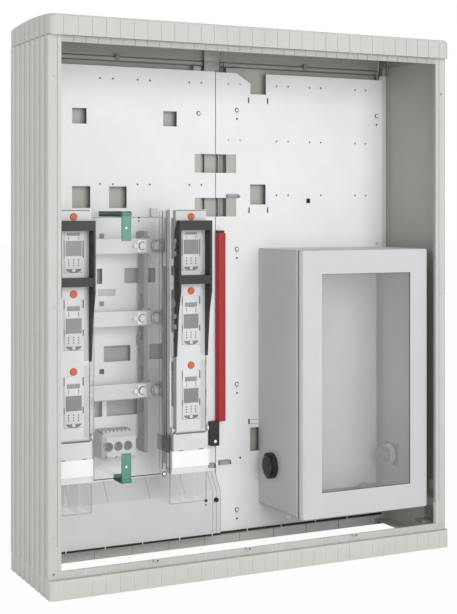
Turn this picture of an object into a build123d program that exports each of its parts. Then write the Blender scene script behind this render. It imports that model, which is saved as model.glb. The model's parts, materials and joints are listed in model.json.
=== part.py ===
from build123d import *
import os

os.makedirs("parts", exist_ok=True)

# ---------------------------------------------------------------- driving sizes
# X runs along the width, Y from the open front to the back, Z up. All in mm.

# Moulded cabinet shell
cab_w = 1115
cab_d = 320
cab_h = 1366
base_h = 46
roof_h = 56
roof_rise = 8
side_wall = 10
rear_wall_t = 8
rib_pitch = 39
rib_foot = 34
rib_depth = 3.5
rib_flank = 45
groove_pitch = 35
groove_w = 1.6
groove_depth = 1.2
corner_r = 12
edge_r = 4
shadow_gap = 3

# Door frame around the front opening
post_w = 32.5
post_t = 10
front_setback = 16
post_edge_r = 5
post_groove_x = 21.5
post_groove = 1.5
lip_h = 16
lintel_h = 14
rail_t = 8
joint_pitch = 31
ledge_t = 8
ledge_d = 26

# Rear rails and mounting plates
plate_t = 2
plate_front_y = 128
plate_gap = 1
plate_side_gap = 19.5
plate_drop = 34
right_plate_foot_z = 36
left_plate_foot_z = 60
rail_sheet = 2
rail_drop = 22
top_rail_drop = 12.5
side_rail_reach = 27.5
lug_pitch = 106
web_pitch = 180

# Busbar system and fuse-switch strips
pole_pitch = 185
middle_pole_z = 627
busbar_t = 10
busbar_h = 38
busbar_front_y = 62
busbar_x1 = -102
strip_w = 100
strip_side_gap = 24.5
right_strip_x = -166
strip_front_y = -63
strip_back_y = 10
strip_top_z = 905
strip_foot_z = 248
strip_wall = 4
lid_w = 82
lid_front_y = -80
lid_foot_z = 349
lid_top_z = 903
lid_sheet = 3
handle_w = 91
handle_front_y = -110
fuse_y = -27
fuse_body_h = 62
fuse_body_w = 58
fuse_body_d = 54
fuse_length = 150
blade_d = 25
blade_t = 6
jaw_start = 50
jaw_length = 24
jaw_slot = 6.6
run_gap = 0.3
pin_clearance = 0.05
hinge_y = -72
hinge_z = 357
hinge_r = 8
cheek_t = 3.7
trunnion_r = 3

# Window enclosure
enc_x0 = 130
enc_side_gap = 35.5
enc_z0 = 106
enc_z1 = 800
enc_sheet = 2.5
enc_rim_y = -97
door_front_y = -122
door_back_y = -102
window_border_x = (56, 54)
window_border_z = (66, 62)
glass_t = 3
hinge_inset = 6.5
door_axis_y = -104.5

# ---------------------------------------------------------------- derived sizes
half_w = cab_w / 2
front_y = -cab_d / 2
back_y = cab_d / 2
eaves_z = cab_h - roof_h
inner_x = half_w - side_wall
valley_x = half_w - rib_depth
inner_back_y = back_y - rear_wall_t
frame_front_y = front_y + front_setback
opening_x = half_w - post_w
plate_back_y = plate_front_y + plate_t
pole_z = [middle_pole_z + pole_pitch * k for k in (-1, 0, 1)]
side_ribs = int(cab_d / rib_pitch) - 1
back_ribs = 2 * int(half_w / rib_pitch)
lip_joints = 2 * int(opening_x / joint_pitch) + 1
plate_edge_x = inner_x - plate_side_gap
plate_top_z = eaves_z - plate_drop
rail_top_z = eaves_z - rail_drop
top_rail_z = eaves_z - top_rail_drop
side_rail_x = inner_x - side_rail_reach
busbar_x0 = -plate_edge_x
strip_x = {"left": strip_side_gap + strip_w / 2 - inner_x, "right": right_strip_x}
enc_x1 = inner_x - enc_side_gap
window_x0 = enc_x0 + window_border_x[0]
window_x1 = enc_x1 - window_border_x[1]
window_z0 = enc_z0 + window_border_z[0]
window_z1 = enc_z1 - window_border_z[1]
door_axis_x = enc_x1 - hinge_inset


# ---------------------------------------------------------------- helpers
def facing_front(y):
    """Upright sketch plane at depth y whose normal points to the front."""
    return Plane.XZ.offset(-y)


def block(x, y, z, mode=Mode.ADD):
    """Cuboid between a pair of limits along each axis."""
    with Locations(((x[0] + x[1]) / 2, (y[0] + y[1]) / 2, (z[0] + z[1]) / 2)):
        Box(x[1] - x[0], y[1] - y[0], z[1] - z[0], mode=mode)


def area(u, v, mode=Mode.ADD):
    """Sketch rectangle between a pair of limits along each sketch axis."""
    with Locations(((u[0] + u[1]) / 2, (v[0] + v[1]) / 2)):
        Rectangle(u[1] - u[0], v[1] - v[0], mode=mode)


def drilled(points, radius, y, depth):
    """Round holes from depth y towards the back, axis along Y."""
    with BuildSketch(facing_front(y)) as holes:
        with Locations(*points):
            Circle(radius)
    extrude(holes.sketch, amount=-depth, mode=Mode.SUBTRACT)


def footprint():
    """Outline shared by base and roof: pads on sides and back, fine grooves in front."""
    area((-valley_x, valley_x), (front_y, back_y - rib_depth))
    for side in (-1, 1):
        with Locations((side * (valley_x + rib_depth / 2), 0)):
            with GridLocations(0, rib_pitch, 1, side_ribs + 1):
                Trapezoid(rib_foot, rib_depth, rib_flank, rotation=-90 * side)
        for end in (front_y + rib_foot / 2, back_y - rib_foot / 2):
            with Locations((side * (half_w - rib_foot / 2), end)):
                Rectangle(rib_foot, rib_foot)
    with Locations((0, back_y - rib_depth / 2)):
        with GridLocations(rib_pitch, 0, back_ribs, 1):
            Trapezoid(rib_foot, rib_depth, rib_flank)
    with Locations((0, front_y)):
        with GridLocations(groove_pitch, 0, 2 * int(inner_x / groove_pitch) + 1, 1):
            Rectangle(groove_w, 2 * groove_depth, mode=Mode.SUBTRACT)


def outer_corners(outline):
    """Vertices of a footprint sketch that sit on its four outer corners."""
    return [
        v
        for v in outline.vertices()
        if abs(abs(v.X) - half_w) < 0.01 and abs(abs(v.Y) - back_y) < 0.01
    ]


def finish(piece, name):
    """Label a finished piece and write it as its own file."""
    piece.part.label = name
    export_step(piece.part, f"parts/{name}.step")


# ================================================================ cabinet shell
# Base: a ribbed ring open to the ground, with a front ledge that carries the posts.
rear_beam_h = 25
rear_beam_y = inner_back_y - 6
lug_w = 8
lug_h = 15
skirt_t = 3
skirt_h = 17
with BuildPart() as base_frame:
    with BuildSketch(Plane.XY) as base_outline:
        footprint()
        fillet(outer_corners(base_outline), corner_r)
    extrude(amount=base_h)
    block((-inner_x, inner_x), (front_y + ledge_t, rear_beam_y), (0, rear_beam_h), Mode.SUBTRACT)
    block(
        (-inner_x, inner_x),
        (front_y + ledge_t, inner_back_y),
        (rear_beam_h, base_h - ledge_t),
        Mode.SUBTRACT,
    )
    block(
        (-inner_x, inner_x), (front_y + ledge_d, inner_back_y), (base_h - ledge_t, base_h), Mode.SUBTRACT
    )
    # Small locating lugs on the rear beam.
    with Locations((0, (rear_beam_y + inner_back_y) / 2, rear_beam_h + lug_h / 2)):
        with GridLocations(lug_pitch, 0, 2 * int(inner_x / lug_pitch) - 1, 1):
            Box(lug_w, inner_back_y - rear_beam_y, lug_h)
    # Upright lip behind the ledge, with fine moulding joints.
    with BuildSketch(Plane.XY.offset(base_h)):
        area((-opening_x, opening_x), (frame_front_y, frame_front_y + rail_t))
        with Locations((0, frame_front_y)):
            with GridLocations(joint_pitch, 0, lip_joints, 1):
                Rectangle(groove_w, 2 * groove_depth, mode=Mode.SUBTRACT)
    extrude(amount=lip_h)
    # Inner skirt thickening along both sides.
    for side in (-1, 1):
        block(
            sorted((side * inner_x, side * (inner_x - skirt_t))),
            (front_y + ledge_t, rear_beam_y),
            (0, skirt_h),
        )
finish(base_frame, "base_frame")

# Side walls: ribbed skin with the front post moulded on as a return flange.
for side, name in ((-1, "side_wall_left"), (1, "side_wall_right")):
    with BuildPart() as side_shell:
        with BuildSketch(Plane.XY.offset(base_h)) as wall_profile:
            area(sorted((side * inner_x, side * valley_x)), (frame_front_y, back_y))
            with Locations((side * (valley_x + rib_depth / 2), rib_pitch / 2)):
                with GridLocations(0, rib_pitch, 1, side_ribs):
                    Trapezoid(rib_foot, rib_depth, rib_flank, rotation=-90 * side)
            area(sorted((side * inner_x, side * half_w)), (back_y - rib_foot / 2, back_y))
            area(sorted((side * inner_x, side * half_w)), (frame_front_y, frame_front_y + rib_foot / 2))
            area(sorted((side * opening_x, side * half_w)), (frame_front_y, frame_front_y + post_t))
            area(
                sorted((side * (half_w - post_groove_x), side * (half_w - post_groove_x - post_groove))),
                (frame_front_y, frame_front_y + post_groove),
                Mode.SUBTRACT,
            )
            corners = wall_profile.vertices().filter_by_position(
                Axis.X, *sorted((side * half_w - 0.01, side * half_w + 0.01))
            )
            fillet(corners.sort_by(Axis.Y)[0], post_edge_r)
            back_corner = wall_profile.vertices().filter_by_position(
                Axis.X, *sorted((side * half_w - 0.01, side * half_w + 0.01))
            )
            fillet(back_corner.sort_by(Axis.Y)[-1], side_wall - 1)
        extrude(amount=eaves_z - base_h)
    finish(side_shell, name)

# Rear wall: ribbed sheet between the side walls.
with BuildPart() as rear_wall:
    with BuildSketch(Plane.XY.offset(base_h)):
        area((-inner_x, inner_x), (inner_back_y, back_y - rib_depth))
        with Locations((0, back_y - rib_depth / 2)):
            with GridLocations(rib_pitch, 0, back_ribs, 1):
                Trapezoid(rib_foot, rib_depth, rib_flank)
    extrude(amount=eaves_z - base_h)
finish(rear_wall, "rear_wall")

# Roof: hollow moulded cap, crowned from front to back, with a shadow joint above the walls
# and stiffening webs inside. The ribs stop just under its smooth rounded rim.
roof_skirt = 10
roof_top_t = 8
rim_band = 5
rim_z = cab_h - roof_rise
ceiling_z = rim_z - roof_top_t
web_t = 4
web_h = 10


def crowned(drop, height):
    """Cuts away what lies above an arc from the front edge over the ridge to the back edge."""
    with BuildSketch(Plane.YZ.offset(-half_w)) as above:
        with BuildLine():
            ThreePointArc(
                (front_y - 1, rim_z - drop), (0, cab_h - drop), (back_y + 1, rim_z - drop)
            )
            Polyline(
                (back_y + 1, rim_z - drop),
                (back_y + 1, height),
                (front_y - 1, height),
                (front_y - 1, rim_z - drop),
            )
        make_face()
    extrude(above.sketch, amount=cab_w, mode=Mode.SUBTRACT)


with BuildPart() as roof_ribs:
    with BuildSketch(Plane.XY.offset(eaves_z)) as roof_outline:
        footprint()
        fillet(outer_corners(roof_outline), corner_r)
    extrude(amount=roof_h)
    crowned(rim_band, cab_h + 1)

with BuildPart() as roof:
    with BuildSketch(Plane.XY.offset(eaves_z)):
        with Locations((0, -rib_depth / 2 + groove_depth / 2)):
            RectangleRounded(2 * valley_x, cab_d - rib_depth - groove_depth, corner_r)
    extrude(amount=roof_h)
    crowned(0, cab_h + 1)
    fillet(roof.faces().sort_by(Axis.Z)[-1].edges(), edge_r)
    add(roof_ribs.part)
    block(
        (-half_w + roof_skirt, half_w - roof_skirt),
        (frame_front_y + post_t, back_y - roof_skirt),
        (eaves_z, ceiling_z),
        Mode.SUBTRACT,
    )
    block(
        (-half_w + roof_skirt, half_w - roof_skirt),
        (front_y + roof_skirt, frame_front_y + post_t),
        (eaves_z + ledge_t, ceiling_z),
        Mode.SUBTRACT,
    )
    # Shadow joint around the sides and back.
    with BuildSketch(Plane.XY.offset(eaves_z)):
        area((-half_w, half_w), (front_y, back_y))
        area((-valley_x, valley_x), (front_y, back_y - rib_depth), Mode.SUBTRACT)
    extrude(amount=shadow_gap, mode=Mode.SUBTRACT)
    with Locations((0, 0, ceiling_z - web_h / 2)):
        with GridLocations(web_pitch, 0, 2 * int(inner_x / web_pitch) - 1, 1):
            Box(web_t, cab_d - 2 * roof_skirt, web_h)
finish(roof, "roof")

# Lintel rail across the top of the opening.
with BuildPart() as lintel:
    with BuildSketch(Plane.XY.offset(eaves_z - lintel_h)):
        area((-opening_x, opening_x), (frame_front_y, frame_front_y + rail_t))
        with Locations((0, frame_front_y)):
            with GridLocations(joint_pitch, 0, lip_joints, 1):
                Rectangle(groove_w, 2 * groove_depth, mode=Mode.SUBTRACT)
    extrude(amount=lintel_h)
finish(lintel, "lintel")

# ================================================================ rear rails
# Top rail: a hat section screwed along the rear wall.
top_rail_x0 = 2.5 - inner_x
top_rail_x1 = inner_x - 18.5
rail_clip_x = (-275, 285)
with BuildPart() as top_rail:
    with BuildSketch(Plane.YZ.offset(top_rail_x0)):
        area((inner_back_y - 1.5, inner_back_y), (top_rail_z - 7.5, top_rail_z + 7.5))
        area((inner_back_y - 8, inner_back_y), (top_rail_z - 3.5, top_rail_z + 3.5))
        area((inner_back_y - 6.5, inner_back_y), (top_rail_z - 2, top_rail_z + 2), Mode.SUBTRACT)
    extrude(amount=top_rail_x1 - top_rail_x0)
    # Right-hand end piece.
    block(
        (top_rail_x1 - 14, top_rail_x1 - 7),
        (inner_back_y - 14, inner_back_y - 8),
        (top_rail_z - 21.5, top_rail_z + 3.5),
    )
finish(top_rail, "top_rail")

# Clips that hold the top rail.
with BuildPart() as rail_clips:
    for x in rail_clip_x:
        with BuildSketch(Plane.YZ.offset(x - 6)):
            area((inner_back_y - 11, inner_back_y - 8), (top_rail_z - 3, top_rail_z + 12))
            area((inner_back_y - 11, inner_back_y), (top_rail_z + 9, top_rail_z + 12))
        extrude(amount=12)
finish(rail_clips, "rail_clips")

# Middle rails: channels with one wide flange that carries the plate edge.
for side, name, web, flange in (
    (-1, "rail_mid_left", (26, 46), 64),
    (1, "rail_mid_right", (13, 35), 75),
):
    with BuildPart() as rail:
        with BuildSketch(Plane.XY.offset(base_h)):
            area(sorted((side * web[0], side * web[1])), (inner_back_y - rail_sheet, inner_back_y))
            area(
                sorted((side * (web[1] - rail_sheet), side * web[1])), (plate_back_y, inner_back_y)
            )
            area(
                sorted((side * (web[1] - rail_sheet), side * flange)),
                (plate_back_y, plate_back_y + rail_sheet),
            )
            area(
                sorted((side * web[0], side * (web[0] + rail_sheet))), (inner_back_y - 14, inner_back_y)
            )
            rib_x = side * (web[0] + web[1]) / 2
            area((rib_x - rail_sheet / 2, rib_x + rail_sheet / 2), (inner_back_y - 6, inner_back_y))
        extrude(amount=rail_top_z - base_h)
    finish(rail, name)

# Side rails: angles against the side walls, with a lip in front of the plate's edge.
for side, name in ((-1, "rail_left"), (1, "rail_right")):
    with BuildPart() as rail:
        with BuildSketch(Plane.XY.offset(base_h)):
            area(
                sorted((side * (inner_x - rail_sheet), side * inner_x)), (plate_front_y - 2, inner_back_y)
            )
            area(sorted((side * side_rail_x, side * inner_x)), (plate_back_y, plate_back_y + rail_sheet))
        extrude(amount=rail_top_z - base_h)
    finish(rail, name)

# ================================================================ mounting plates
window_h = 50
joint_window_x = 61.5
hole_r = 2.6
hole_sides = 8
left_hole_x = (-329, -294, -225, -190, -77, -42)
left_hole_z = (1244, 971)
right_hole_x = (39, 74, 186, 222, 290, 326, 438, 473)
right_hole_z = (1245, 1093)
low_hole_x = (186, 222, 326, 438, 473)
low_hole_z = 945
slot_points = ((100, 1203), (158, 1203), (101, 904), (158, 904), (101, 328))
keyhole_x = 64
keyhole_z = (1175, 798, 432, 92)
keyhole_drop = 24
keyhole_r = 4.6
far_hole_x = 510
far_hole_z = (1148, 808)
joint_windows = (1029, 911.5)
notch_x0 = 105
notch_x1 = 153
notch_d = 56
with BuildPart() as mounting_plate_left:
    with BuildSketch(facing_front(plate_back_y)):
        area((-plate_edge_x, -plate_gap), (left_plate_foot_z, plate_top_z))
        # Square windows in the upper field.
        with Locations((-385, 1145), (-133, 1145)):
            Rectangle(39, 40, mode=Mode.SUBTRACT)
        with Locations((-380, 937), (-280, 937)):
            Rectangle(49, 56, mode=Mode.SUBTRACT)
        # Halves of the windows that straddle the joint between the plates.
        for z in joint_windows:
            area((-joint_window_x, -plate_gap), (z - window_h / 2, z + window_h / 2), Mode.SUBTRACT)
        # Cut-outs behind the busbars.
        with Locations((-324.5, middle_pole_z + 35)):
            with GridLocations(0, 175, 1, 3):
                Rectangle(13, 13, mode=Mode.SUBTRACT)
        with Locations((-330.5, 733)):
            Rectangle(15, 39, mode=Mode.SUBTRACT)
        with Locations((-218.5, 733)):
            Rectangle(87, 39, mode=Mode.SUBTRACT)
        with Locations((-282, 532)):
            Rectangle(74, 41, mode=Mode.SUBTRACT)
        with Locations((-173.5, 532)):
            Rectangle(37, 41, mode=Mode.SUBTRACT)
        with Locations((-334, 391)):
            Rectangle(22, 40, mode=Mode.SUBTRACT)
        with Locations((-268, 391)):
            Rectangle(86, 40, mode=Mode.SUBTRACT)
        # Punched holes, drawn with eight sides to keep the mesh light.
        with Locations(*[(x, z) for x in left_hole_x for z in left_hole_z]):
            RegularPolygon(hole_r, hole_sides, mode=Mode.SUBTRACT)
    extrude(amount=plate_t)
finish(mounting_plate_left, "mounting_plate_left")

with BuildPart() as mounting_plate_right:
    with BuildSketch(facing_front(plate_back_y)):
        with BuildLine():
            Polyline(
                (plate_gap, right_plate_foot_z),
                (plate_edge_x, right_plate_foot_z),
                (plate_edge_x, plate_top_z),
                (notch_x1, plate_top_z),
                (notch_x1, plate_top_z - notch_d),
                (notch_x0, plate_top_z - notch_d),
                (notch_x0, plate_top_z - notch_d / 2),
                (notch_x0 - 42, plate_top_z - 1),
                (plate_gap, plate_top_z - 1),
                close=True,
            )
        make_face()
        for z in joint_windows:
            area((plate_gap, joint_window_x), (z - window_h / 2, z + window_h / 2), Mode.SUBTRACT)
        with Locations((128, 946.5)):
            Rectangle(48, 55, mode=Mode.SUBTRACT)
        with Locations((128, 279)):
            Rectangle(48, 64, mode=Mode.SUBTRACT)
        with Locations((285.5, 929.5)):
            Rectangle(13, 13, mode=Mode.SUBTRACT)
        # Punched holes, slots and keyholes.
        points = [(x, z) for x in right_hole_x for z in right_hole_z]
        points += [(x, low_hole_z) for x in low_hole_x] + [(far_hole_x, z) for z in far_hole_z]
        points += [(keyhole_x, z - keyhole_drop) for z in keyhole_z] + [(74, 232)]
        with Locations(*points):
            RegularPolygon(hole_r, hole_sides, mode=Mode.SUBTRACT)
        with Locations(*slot_points):
            Rectangle(1.6 * hole_r, 6 * hole_r, mode=Mode.SUBTRACT)
        with Locations(*[(keyhole_x, z) for z in keyhole_z]):
            RegularPolygon(keyhole_r, hole_sides, mode=Mode.SUBTRACT)
        with Locations(*[(keyhole_x, z - 1.5 * keyhole_r) for z in keyhole_z]):
            Rectangle(hole_r, 2 * keyhole_r, mode=Mode.SUBTRACT)
    extrude(amount=plate_t)
finish(mounting_plate_right, "mounting_plate_right")

# Lower panel: folded sheet that hides the plate's foot, closed at both ends.
panel_front_y = 92
panel_x0 = 42.5 - inner_x
panel_x1 = -2
panel_foot_z = 42
panel_fold_z = 155
panel_top_z = 204
with BuildPart() as lower_panel:
    with BuildSketch(Plane.YZ.offset(panel_x0)):
        with BuildLine():
            Polyline(
                (panel_front_y, panel_foot_z),
                (panel_front_y, panel_fold_z),
                (plate_front_y, panel_top_z),
                (plate_front_y, panel_foot_z),
                close=True,
            )
        make_face()
    extrude(amount=panel_x1 - panel_x0)
    with BuildSketch(Plane.YZ.offset(panel_x0 + plate_t)):
        with BuildLine():
            Polyline(
                (panel_front_y + plate_t, panel_foot_z + plate_t),
                (panel_front_y + plate_t, panel_fold_z - 1),
                (plate_front_y, panel_top_z - 4),
                (plate_front_y, panel_foot_z + plate_t),
                close=True,
            )
        make_face()
    extrude(amount=panel_x1 - panel_x0 - 2 * plate_t, mode=Mode.SUBTRACT)
finish(lower_panel, "lower_panel")

# Knob of the lower panel's fastener.
with BuildPart() as panel_knob:
    with BuildSketch(facing_front(panel_front_y)):
        with Locations((-16, 134)):
            Circle(6)
    extrude(amount=7)
    chamfer(panel_knob.faces().sort_by(Axis.Y)[0].edges(), 1.5)
finish(panel_knob, "panel_knob")

# Cable clips on the plates.
with BuildPart() as plate_clips:
    for x0, x1, z0, z1 in ((31, 70, 937, 947), (8, 42, 217, 231), (-26, -4, 212, 226)):
        with BuildSketch(facing_front(plate_front_y)):
            area((x0, x1), (z0, z1))
        extrude(amount=10, taper=12)
finish(plate_clips, "plate_clips")

# Keyed lock plate on the right wall.
with BuildPart() as wall_latch:
    with BuildSketch(Plane.YZ.offset(inner_x - 3)):
        with Locations((-95.5, 157.5)):
            SlotOverall(28, 20, rotation=90)
        with Locations((-95.5, 152)):
            Circle(3, mode=Mode.SUBTRACT)
    extrude(amount=3)
finish(wall_latch, "wall_latch")

# Foundation brackets: angles on the side walls, drilled for the ground bolts.
bracket_y = (-81, 91)
bracket_z = 55
bracket_t = 6
bracket_x = inner_x - 19.5
bracket_reach = 15
bracket_w = 34
bracket_leg = 42
bracket_leg_t = 4
bolt_hole_r = 6.5
with BuildPart() as foundation_brackets:
    for side in (-1, 1):
        for y in bracket_y:
            block(
                sorted((side * (bracket_x - bracket_reach), side * inner_x)),
                (y - bracket_w / 2, y + bracket_w / 2),
                (bracket_z, bracket_z + bracket_t),
            )
            block(
                sorted((side * (inner_x - bracket_leg_t), side * inner_x)),
                (y - bracket_w / 2, y + bracket_w / 2),
                (bracket_z, bracket_z + bracket_leg),
            )
            with Locations((side * bracket_x, y, bracket_z + bracket_t / 2)):
                Cylinder(bolt_hole_r, 3 * bracket_t, mode=Mode.SUBTRACT)
finish(foundation_brackets, "foundation_brackets")

# ================================================================ busbar system
busbar_bolt_x = (-240, -202)
bolt_hole = 5.5
for z, name in zip(pole_z, ("busbar_bottom", "busbar_middle", "busbar_top")):
    with BuildPart() as busbar:
        with BuildSketch(facing_front(busbar_front_y + busbar_t)):
            area((busbar_x0, busbar_x1), (z - busbar_h / 2, z + busbar_h / 2))
        extrude(amount=busbar_t)
        drilled([(x, z) for x in busbar_bolt_x], bolt_hole, busbar_front_y, busbar_t)
    finish(busbar, name)

# Busbar supports: moulded combs that stand off from the mounting plate.
support_y0 = busbar_front_y + busbar_t
support_y1 = 113
support_z0 = 280
support_z1 = 850
support_t = 10
with BuildPart() as busbar_supports:
    for x in (busbar_bolt_x[0] + 11, busbar_x0 + 8):
        with BuildSketch(Plane.YZ.offset(x)):
            area((support_y0, support_y1), (support_z0, support_z1))
            with Locations(((support_y0 + support_y1) / 2, middle_pole_z - pole_pitch / 2)):
                with GridLocations(0, pole_pitch, 1, 2):
                    RectangleRounded(24, 120, 6, mode=Mode.SUBTRACT)
            for z in (support_z0 + 15, (support_z0 + support_z1) / 2, support_z1 - 15):
                area((support_y1, plate_front_y), (z - 12, z + 12))
        extrude(amount=support_t)
        for z in pole_z:
            block(
                (x - 6, x + support_t + 6), (support_y0, support_y0 + 5), (z - 24, z + 24)
            )
finish(busbar_supports, "busbar_supports")

# Bolts and clamps on the busbars: a square clamp, its side screw and a hexagon bolt.
clamp_w = 24
clamp_h = 31
washer_t = 3
screw_x = -260
with BuildPart() as busbar_bolts:
    clamp_x, bolt_x = busbar_bolt_x
    for z in pole_z:
        for x, outline in ((clamp_x, "clamp"), (bolt_x, "washer")):
            with BuildSketch(facing_front(busbar_front_y)):
                with Locations((x, z)):
                    if outline == "clamp":
                        Rectangle(clamp_w, clamp_h)
                    else:
                        Circle(12)
            extrude(amount=washer_t)
        for x, y, r, length in (
            (clamp_x, busbar_front_y - washer_t, 8.5, 7),
            (screw_x, busbar_front_y, 5, 9),
            (bolt_x, busbar_front_y - washer_t, 9, 15),
        ):
            with BuildSketch(facing_front(y)):
                with Locations((x, z)):
                    RegularPolygon(r, 6, major_radius=False)
            extrude(amount=length)
finish(busbar_bolts, "busbar_bolts")

# Clear cover over the busbars: a bent sheet with two side flanges.
cover_x0 = strip_x["left"] + strip_w / 2 + 1
cover_x1 = -246
cover_z0 = 253
cover_z1 = 887
cover_front_y = -80
cover_sheet = 3
cover_depth = 60
with BuildPart() as busbar_cover:
    with BuildSketch(Plane.XY.offset(cover_z0)):
        area((cover_x0, cover_x1), (cover_front_y, cover_front_y + cover_depth))
        area(
            (cover_x0 + cover_sheet, cover_x1 - cover_sheet),
            (cover_front_y + cover_sheet, cover_front_y + cover_depth),
            Mode.SUBTRACT,
        )
    extrude(amount=cover_z1 - cover_z0)
    fillet(busbar_cover.edges().filter_by(Axis.Z).group_by(Axis.Y)[0], 2)
finish(busbar_cover, "busbar_cover")

# Cover arms: ribbed spacers between the busbar field and the cover, each ending in hinge cheeks.
arm_x = (cover_x0 + cover_x1) / 2 - 5
arm_w = 24
arm_h = 14
arm_back_y = {"top": 79, "bottom": -26}
slot_pitch = 14
latch_axis_y = -84
latch_t = 4
latch_w = 24
latch_length = 66
neck_w = 16
knuckle_r = 4
pin_r = 1.5
arms = (
    ("top", cover_z1 + arm_h / 2, -1, 860),
    ("bottom", cover_z0 - arm_h / 2, 1, 280),
)
for end, z, way, hole_z in arms:
    with BuildPart() as cover_arm:
        with BuildSketch(Plane.YZ.offset(arm_x - arm_w / 2)):
            area((latch_axis_y, arm_back_y[end]), (z - arm_h / 2, z + arm_h / 2))
            with Locations((latch_axis_y, z)):
                Circle(knuckle_r + 0.5)
        extrude(amount=arm_w)
        # Two rows of slots leave thin flanges and regular cross webs.
        slotted = arm_back_y[end] - cover_front_y
        with Locations((arm_x, (arm_back_y[end] + cover_front_y) / 2 + 2, z)):
            with GridLocations(11, slot_pitch, 2, int(slotted / slot_pitch) - 1):
                Box(7, slot_pitch - 4, arm_h, mode=Mode.SUBTRACT)
        # Room for the latch knuckle between two cheeks.
        block(
            (arm_x - neck_w / 2 - run_gap, arm_x + neck_w / 2 + run_gap),
            (latch_axis_y - arm_h / 2, latch_axis_y + knuckle_r + 0.5),
            (z - arm_h, z + arm_h),
            Mode.SUBTRACT,
        )
        # Hinge pin across the cheeks.
        with BuildSketch(Plane.YZ.offset(arm_x - arm_w / 2)):
            with Locations((latch_axis_y, z)):
                Circle(pin_r)
        extrude(amount=arm_w)
    finish(cover_arm, f"cover_arm_{end}")

    # Latch: a flat leg that folds over the cover's front, with a hole for a seal.
    with BuildPart() as cover_latch:
        with BuildSketch(Plane.YZ.offset(arm_x - neck_w / 2)):
            with Locations((latch_axis_y, z)):
                Circle(knuckle_r)
            area(
                (cover_front_y - run_gap - latch_t, cover_front_y - run_gap),
                sorted((z, z + way * (arm_h / 2 + 2))),
            )
        extrude(amount=neck_w)
        with BuildSketch(facing_front(cover_front_y - run_gap)):
            area(
                (arm_x - latch_w / 2, arm_x + latch_w / 2),
                sorted((z + way * (arm_h / 2 + run_gap), z + way * latch_length)),
            )
            with Locations((arm_x, hole_z)):
                Circle(3, mode=Mode.SUBTRACT)
        extrude(amount=latch_t)
        with BuildSketch(Plane.YZ.offset(arm_x - arm_w)):
            with Locations((latch_axis_y, z)):
                Circle(pin_r + pin_clearance)
        extrude(amount=2 * arm_w, mode=Mode.SUBTRACT)
    finish(cover_latch, f"cover_latch_{end}")

# Clear stays that carry the cover arms from the mounting plate.
stay_w = 8
stay_h = 10
block_front_y = 60
with BuildPart() as cover_brackets:
    for end, z, *_ in arms:
        block(
            (arm_x - stay_w / 2, arm_x + stay_w / 2),
            (arm_back_y[end], plate_front_y),
            (z - stay_h / 2, z + stay_h / 2),
        )
finish(cover_brackets, "cover_brackets")

# Terminal block with three round cable entries, a clamp screw under each.
block_x0 = -346
block_x1 = -258
block_z0 = 266
block_z1 = 339
entry_x = (-331, -305, -279)
entry_z = 304
entry_r = 12
with BuildPart() as terminal_block:
    with BuildSketch(facing_front(plate_front_y)):
        area((block_x0, block_x1), (block_z0, block_z1))
    extrude(amount=plate_front_y - block_front_y)
    fillet(terminal_block.edges().filter_by(Axis.Y).group_by(Axis.X)[0], 14)
    # The top leans back from the front edge.
    chamfer(terminal_block.faces().sort_by(Axis.Y)[0].edges().sort_by(Axis.Z)[-1], 12)
    drilled([(x, entry_z) for x in entry_x], entry_r, block_front_y, 40)
    drilled([(x - 5, entry_z - 27) for x in entry_x[:2]], 3, block_front_y, 12)
finish(terminal_block, "terminal_block")

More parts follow.
